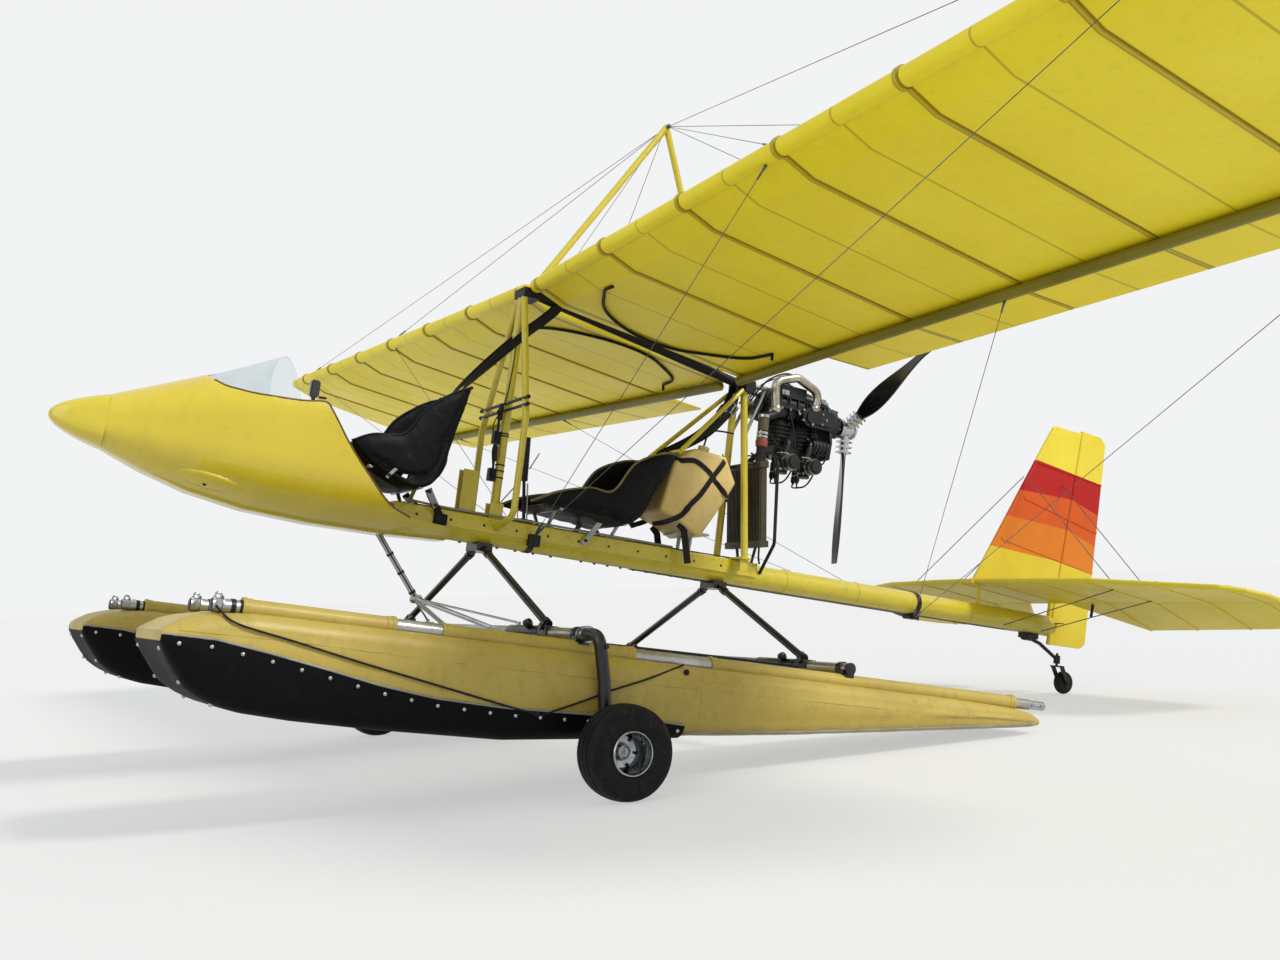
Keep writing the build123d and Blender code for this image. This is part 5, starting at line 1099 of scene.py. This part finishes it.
# main gear legs: a bent tube from the front beam's end down to the axle's socket
for tag, s in SIDES:
    axle = (1262 * s, -30.3, 177.4)
    leg = [tube(rounded([(1160.5 * s, FRONT_BEAM_Y, BEAM_Z), (1266 * s, -121, BEAM_Z + 4),
                         (1270 * s, -80, BEAM_Z - 170), (1262 * s, -30.3, 151.4)], 70), 25, 28),
           turned([(0, 12), (0, 26), (10, 26), (16, 12), (118, 12), (118, 0)], axle, (s, 0, 0), 24),
           turned([(-25, 0), (-25, 24), (-20, 28), (28, 28), (32, 24), (32, 0)], axle, (s, 0, 0), 28),
           sleeve(-30, 30, 0, 9, (1266 * s, -96, BEAM_Z - 40), (s, 0, 0), 6)]
    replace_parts(piece("gear_leg_tube_" + tag, leg, "strut_black"), "gear_leg_" + tag)
caps = [turned([(0, 25), (0, 28), (12, 28), (14, 22), (14, 0)], (1150 * s, REAR_BEAM_Y, BEAM_Z), (s, 0, 0), 28)
        for s in (-1, 1)]
caps += [block((s * 1126, REAR_BEAM_Y, BEAM_Z - 42), (30, 46, 70), 6) for s in (-1, 1)]
piece("rear_beam_ends", caps, "strut_black")


# pod: a blunt shell over its tip, edge trim along the cockpit's rim, a shallow oval swelling with a small vent low
# on each side, and a small box on the rim
POD_SECTIONS = [
    # y, bottom, top, half width
    (-2046.0, 1240.0, 1272.0, 16.0),
    (-1985.0, 1208.0, 1300.0, 48.0),
    (-1850.0, 1144.0, 1362.0, 112.0),
    (-1680.0, 1078.0, 1436.0, 178.0),
    (-1480.0, 1020.0, 1526.0, 232.0),
    (-1240.0, 982.0, 1610.0, 270.0),
    (-950.0, 968.0, 1650.0, 288.0),
    (-640.0, 970.0, 1620.0, 282.0),
    (-330.0, 985.0, 1540.0, 250.0),
]
POD_RIM = [(-1466, 1487), (-1428, 1467), (-1380, 1458), (-1292, 1450), (-1125, 1455), (-1022, 1469), (-984, 1428),
           (-895, 1305), (-783, 1181), (-673, 1088), (-560, 1048)]


def pod_x(y, z):
    """Half width of the pod's wall at a height."""
    low, high, half = between(POD_SECTIONS, y)
    r = 0.42 * min(2 * half, high - low)
    for edge, way in ((high - r, 1), (low + r, -1)):
        over = (z - edge) * way
        if over > 0:
            return half - r + math.sqrt(max(r * r - over * over, 0))
    return half


SHELL_TIP, SHELL_LONG, SHELL_ROWS = -2052, 206, 20
SHELL_BLUNT = 0.52        # the power of the distance from the tip by which the shell widens
SHELL_CORNER = 0.62       # below 1 the outline across is fuller than an ellipse
low, high, half = between(POD_SECTIONS, SHELL_TIP + SHELL_LONG)
shell = []
for k in range(SHELL_ROWS + 1):
    u = (k / SHELL_ROWS) ** 2
    size = max(u, 1e-4) ** SHELL_BLUNT
    wide, tall = half * size + 1, (high - low) / 2 * size + 1
    shell.append([(math.copysign(abs(math.cos(a)) ** SHELL_CORNER, math.cos(a)) * wide, SHELL_TIP + SHELL_LONG * u,
                   1253 - 4 * (1 - u) + math.copysign(abs(math.sin(a)) ** SHELL_CORNER, math.sin(a)) * tall)
                  for a in circle(48)])
piece("pod_nose_shell", [lofted(shell)], "pod_gloss", sharp=70)
trim = []
for s in (-1, 1):
    rim = curved([(0, *p) for p in POD_RIM], 4)
    trim.append(tube([(s * (pod_x(p.y, p.z) - 2), p.y, p.z + 1) for p in rim], 4.6, 8))
piece("pod_rim_trim", trim, "trim_brown")
swelling, vents = [], []
for s in (-1, 1):
    rings = []
    for grow in (1.0, 0.96, 0.85, 0.68, 0.45, 0.2, 0.04):
        loop = []
        for a in circle(40):
            y, z = -1425 + 140 * grow * math.cos(a), 1064 + 32 * grow * math.sin(a) - 20 * grow * math.cos(a)
            z = max(z, between(POD_SECTIONS, y)[0] + 24)
            loop.append((s * (pod_x(y, z) - 3 + 15 * (1 - grow ** 2) ** 0.7), y, z))
        rings.append(loop)
    swelling.append(lofted(rings))
    vents.append(sleeve(0, 3, 0, 8, (s * (pod_x(-1440, 1050) + 9), -1440, 1050), (s, 0, 0), 16))
piece("pod_side_vents", vents, "bracket_black")
piece("pod_side_mouldings", swelling, "pod_gloss")
piece("rim_box", [block((268, -1078, 1515), (34, 40, 74), 6), tube([(268, -1078, 1470), (266, -1078, 1480)], 9)],
      "dial_black")
GAUGES = ((-150, 1392, 40), (-50, 1400, 44), (55, 1400, 44), (150, 1392, 30))     # x, z, radius on the panel
bezels, marks = [], []
for x, z, r in GAUGES:
    bezels.append(turned([(0, r - 6.5), (0, r - 1), (3, r - 1), (3, r - 6.5)], (x, -1222, z), (0, 1, 0), 32))
    for k in range(9):
        a = math.radians(225 - 33.75 * k)
        c = Vector((x + (r - 13) * math.cos(a), -1225, z + (r - 13) * math.sin(a)))
        marks.append(block(c, (6, 0.8, 1.6), 0.2, Matrix.Rotation(-a, 3, "Y")))
    needle = Matrix.Rotation(math.radians(-45), 3, "Y")
    marks.append(block((x + 6, -1225, z + 6), (r * 0.8, 0.8, 1.8), 0.2, needle))
piece("gauge_bezels", bezels, "rim_polished")
piece("gauge_marks", marks, "pipe_grey")

# cables and small levers of the cockpit
lines = [tube(curved([(72, -548, 1146), (74, -374, 1138), (76, -125, 1138), (76, 83, 1140), (74, 466, 1139),
                      (73, 696, 1139), (60, 900, 1139)], 6), 5.5, 10)]
piece("grey_conduit", lines, "pipe_grey")
dark = [tube(curved(p, 6), r, 8) for p, r in (
    ([(-60, -540, 1136), (-58, -200, 1136), (-60, 200, 1136), (-56, 700, 1136), (-50, 1250, 1136)], 4.0),
    ([(45, -500, 1134), (52, -100, 1134), (40, 300, 1134), (48, 800, 1134), (30, 1300, 1140)], 3.2),
    ([(30, -118, 1515), (44, -140, 1450), (36, -126, 1380)], 3.0),
    ([(-20, -118, 1520), (-8, -128, 1590), (16, -100, 1680), (20, -82, 1830), (16, -70, 2150)], 3.0))]
piece("control_cables", dark, "hose_rubber")
bright = [tube([(24, -66, 1200), (34, 8, 1306)], 3.4, 8), tube([(10, 78, 1400), (30, 112, 1482)], 3.4, 8),
          tube([(14, 96, 1140), (10, 78, 1330)], 4.0, 8), tube([(-14, 60, 1140), (-8, 40, 1310)], 3.0, 8)]
piece("bright_levers", bright, "bracket_grey")
bands = [sleeve(-3.5, 3.5, 21.8, 24, (0, -75 + 8 * (z - 1134) / 1090, z), (0, 0, 1), 28)
         for z in (1533.0, 1545.0, 1392.0, 1363.0, 1330.0)]
for z in (1655.0, 1690.0):
    bands.append(turned([(-274, 0), (-274, 10), (-262, 10), (-262, 7.8), (262, 7.8), (262, 10), (274, 10), (274, 0)],
                        (0, -91, z), (1, 0, 0), 18))
piece("mast_bands_and_bars", bands, "bracket_black")
grips = []
for at, way in (((30, -118, 1600), (0.05, 0, 1)), ((30, -118, 1400), (0.1, -0.1, 1))):
    grips.append(turned([(0, 6), (2, 11), (12, 13), (70, 13), (80, 10), (84, 0)], at, way, 18))
for y, low in ((62, 1340), (-958, 1390)):
    for k in range(9):
        z = low + 12 + 17 * k
        grips.append(turned([(-3, 17), (-2, 18.4), (2, 18.4), (3, 17)], (0, y - 10 * (z - low) / 200, z),
                            (0, 0, 1), 20))
piece("grips", grips, "hose_rubber")

# boom and tray: rivet rows, screws and drain holes
rivets("tray_rivets", [[(s * 70.5, -560, 1112), (s * 70.5, 1400, 1112)] for s in (-1, 1)], 62, 3.6, "boom_yellow")
holes = [turned([(0, 6.5), (1.2, 6.5), (1.2, 4.5), (0.4, 0.0)], (s * 69.6, -480 + 168 * k, 1086), (s, 0, 0), 14)
         for k in range(12) for s in (-1, 1)]
piece("tray_holes", holes, "bracket_black")
bolts("boom_screws", [(0, -420 + 96 * k, 998.5) for k in range(8)] + [(0, 420 + 75 * k, 998.5) for k in range(10)],
      (0, 0, 1), 7, 10, "bracket_black")
clips = [sleeve(-9, 9, 63.2, 65.6, (0, y, 1063), (0, 1, 0), 40) for y in (1650.0, 2150.0, 3010.0, 3340.0)]
piece("boom_bands", clips, "boom_yellow")
piece("boom_cables", [tube(curved(path, 6), 3, 8) for path in (
    [(10, 700, 1000), (14, 1400, 997), (12, 2200, 997), (8, 3000, 997), (24, 3560, 1006)],
    [(-14, 700, 1000), (-16, 1500, 997), (-14, 2400, 997), (-12, 3300, 1000), (-24, 3600, 1010)])], "wire_steel")

# nose truss, struts and wires: bands, clamps and turnbuckles
truss = []
a, b = Vector((0, -640, 998)), Vector((0, -402, 707))
for u in (0.36, 0.62, 0.9):
    truss.append(sleeve(-6, 6, 14, 17, a.lerp(b, u), b - a, 20))
truss.append(tube([a.lerp(b, 0.1) + Vector((18, -6, 0)), a.lerp(b, 0.96) + Vector((19, -6, 0))], 3, 8))
for y in (FRONT_BEAM_Y, REAR_BEAM_Y):
    for s in (-1, 1):
        foot, head = Vector((830 * s, y, 630)), Vector((50 * s, y, 981))
        for u, r in ((0.03, 22), (0.93, 21)):
            truss.append(sleeve(-16, 16, 17, r, foot.lerp(head, u), head - foot, 24))
        truss.append(sleeve(0, 8, 0, 14, (830 * s, y - 34, 622), (0, -1, 0), 6))
piece("strut_clamps", truss, "strut_black")
KING = Vector((0, 630, 3348))
turnbuckles = []


def raised(x, y, z):
    """A point of the flat wing, after the wing is raised by its dihedral."""
    z -= 1000 * LE_Z
    return Vector((x * math.cos(DIHEDRAL) - z * math.sin(DIHEDRAL), y,
                   1000 * LE_Z + x * math.sin(DIHEDRAL) + z * math.cos(DIHEDRAL)))


for s in (-1, 1):
    for x, y, z, anchor in ((1950, -27, 2249, (75.5, 116, 1073)), (3750, -27, 2249, (75.5, 116, 1073)),
                            (1950, 1187, 2037, (22, 2585, 978)), (3750, 1187, 2037, (22, 2585, 978))):
        top, foot = raised(x, y, z), Vector(anchor)
        way = (top - foot).normalized()
        top.x, foot.x, way.x = top.x * s, foot.x * s, way.x * s
        turnbuckles.append(turned([(20, 2), (24, 5), (40, 6), (90, 6), (106, 5), (112, 2)], foot, way, 12))
        turnbuckles.append(turned([(-70, 2), (-64, 4), (-20, 4), (-14, 6), (0, 6)], top, way, 12))
    for x, y, z in ((1950, -27, 2327), (3750, -27, 2327), (1950, 1147, 2129), (3750, 1147, 2129)):
        top = raised(x, y, z)
        foot = KING + Vector((17, 0, 0))
        way = (foot - top).normalized()
        top.x, way.x = top.x * s, way.x * s
        turnbuckles.append(turned([(10, 2), (16, 4.5), (70, 4.5), (76, 2)], top, way, 12))
turnbuckles.append(sleeve(-26, 26, 0, 12, KING, (1, 0, 0), 16))
piece("turnbuckles", turnbuckles, "wire_steel")

# engine: coolant elbow, ignition leads, throttle cables, bolts and the bright caps
FRONT, CRANK, HEAD = 1440.0, 1990.0, 1725.0     # the crankcase's front face, the crank's height, the heads' height
HOSE = (118, 1348.7)
CARB_X = 118
piece("hose_olive", [turned([(0, 25), (0, 29), (84, 29), (88, 25)], (*HOSE, 1826), (0, 0, 1), 24)],
      "olive_hose")
piece("hose_end_red", [turned([(0, 25), (2, 31), (30, 34), (44, 30), (46, 25)], (*HOSE, 1738), (0, 0, 1), 24)],
      "red_hose")
clamps = [sleeve(0, 13, 28, 31.5, (*HOSE, z), (0, 0, 1), 24) for z in (1786, 1806, 1898)]
for z in (1793, 1813):
    clamps.append(sleeve(0, 24, 0, 6, (136, 1326, z), (0.6, -0.5, 0), 8))
piece("hose_clamps", clamps, "hub_silver")
CYL = (FRONT + 88, FRONT + 236)
leads = []
for y in CYL:
    for s in (-1, 1):
        leads.append(turned([(0, 0), (0, 12), (8, 14), (30, 14), (36, 9), (44, 7), (44, 0)],
                            (17 * s, y, HEAD - 76), (0, 0, -1), 16))
        leads.append(tube(curved([(17 * s, y, HEAD - 112), (20 * s, y + 4, HEAD - 138), (60, y + 34, HEAD - 124),
                                  (112, y + 46, HEAD - 30), (118, y + 30, HEAD + 120), (86, y - 20, CRANK + 60),
                                  (70, FRONT + 110, CRANK + 96)], 7), 4.2, 8))
for path, r in (
        ([(60, 1290, 1985), (100, 1321, 2060), (118, 1370, 2118), (124, 1467, 2164), (122, 1569, 2152),
          (118, 1650, 2100), (112, 1690, 2040), (100, 1700, 1960)], 5.0),
        ([(40, 1300, 2010), (70, 1340, 2080), (60, 1450, 2142), (30, 1560, 2136), (10, 1660, 2090),
          (0, 1720, 2050)], 4.2),
        ([(110, 1560, 1712), (136, 1592, 1708), (146, 1664, 1690), (146, 1743, 1716), (138, 1776, 1801),
          (110, 1786, 1850)], 4.5),
        ([(118, 1494, 1700), (150, 1500, 1650), (152, 1560, 1640), (120, 1642, 1672)], 4.0),
        ([(90, 1420, 1830), (130, 1430, 1780), (140, 1470, 1740), (118, 1494, 1710)], 4.0),
        ([(-60, 1300, 1990), (-80, 1400, 2090), (-40, 1540, 2120), (20, 1640, 2100)], 4.5),
        ([(100, 1300, 1700), (118, 1380, 1640), (124, 1390, 1400), (112, 1400, 1180), (70, 1440, 1130)], 5.5),
        ([(20, 1230, 1800), (40, 1120, 1790), (48, 1060, 1770), (60, 1030, 1700), (70, 1020, 1684)], 5.0),
        ([(30, 1290, 1690), (60, 1360, 1700), (100, 1420, 1720), (128, 1470, 1700)], 4.0)):
    leads.append(tube(curved(path, 8), r, 8))
piece("engine_leads", leads, "hose_rubber")
bolts("case_bolts", [(106 * q, FRONT + 30 + 57 * k, CRANK - 10) for q in (-1, 1) for k in range(6)], (0, 0, 1), 8, 16,
      "exhaust_silver")
bolts("cover_bolts", [(153, CYL[0] + 118 + 92 * math.cos(t), CRANK - 34 + 40 * math.sin(t)) for t in circle(8)],
      (1, 0, 0), 7, 8, "exhaust_silver")
bolts("gearbox_bolts", [(88 * math.cos(t), 1885, CRANK - 18 + 88 * math.sin(t)) for t in
                        [math.radians(36 * k + 18) for k in range(10)]], (0, 1, 0), 7, 8, "exhaust_silver")
bolts("starter_bolts", [(104 + 30 * math.cos(t), 1660, HEAD + 84 + 30 * math.sin(t)) for t in circle(4)],
      (0, 1, 0), 5, 10, "exhaust_silver")
bolts("head_nuts", [(50 * math.cos(t), y + 50 * math.sin(t), HEAD - 14) for y in CYL for t in
                    [math.radians(60 * k + 30) for k in range(6)]], (0, 0, 1), 8.5, 12, "exhaust_silver")
bright = []
for y in CYL:
    v = y - 34
    bright.append(sleeve(0, 9, 31, 33.5, (CARB_X, v, HEAD - 78), (0, 0, -1), 28))
    bright.append(sleeve(0, 7, 41, 43.2, (CARB_X + 56, v, HEAD - 50), (1, 0, 0), 32))
    bright.append(sleeve(0, 7, 41, 43.2, (CARB_X + 92, v, HEAD - 50), (1, 0, 0), 32))
    bright.append(sleeve(0, 5, 34, 35.5, (CARB_X, v, HEAD + 2), (0, 0, 1), 28))
piece("carburettor_rings", bright, "exhaust_silver")

# propeller: bolt heads on the blades' clamps, and a ring, a nut and bolts on the hub's face
PROP = Vector((0, 1995, 1972))
hub = []
for k in range(3):
    turn = math.radians(270 + 120 * k)
    out = Vector((math.cos(turn), 0, math.sin(turn)))
    side = Vector((-math.sin(turn), 0, math.cos(turn)))
    for d in (62.0, 92.0, 122.0):
        for q in (-1, 1):
            for e in (-1, 1):
                hub.append(sleeve(0, 3, 0, 6.5, PROP + out * (d + 8) + side * 25 * q + Vector((0, 32 * e, 0)),
                                  side * q, 6))
hub.append(turned([(62, 0), (62, 14), (70, 14), (72, 10), (72, 0)], PROP, (0, 1, 0), 6))
hub.append(sleeve(46, 50, 26, 34, PROP, (0, 1, 0), 28))
for k in range(6):
    t = math.radians(60 * k)
    hub.append(sleeve(46, 54, 0, 6, PROP + Vector((38 * math.cos(t), 0, 38 * math.sin(t))), (0, 1, 0), 6))
piece("hub_bolts", hub, "hub_silver", body="propeller")

# tail: control horns
piece("elevator_horn", [band([(330, 3712, 1206), (330, 3706, 1160), (330, 3700, 1120)], 22, 4, (0, 1, 0))],
      "bracket_black", body="elevator")
piece("rudder_horn", [block((0, 3762, 1086), (130, 26, 4), 1.5)], "bracket_black", body="rudder")
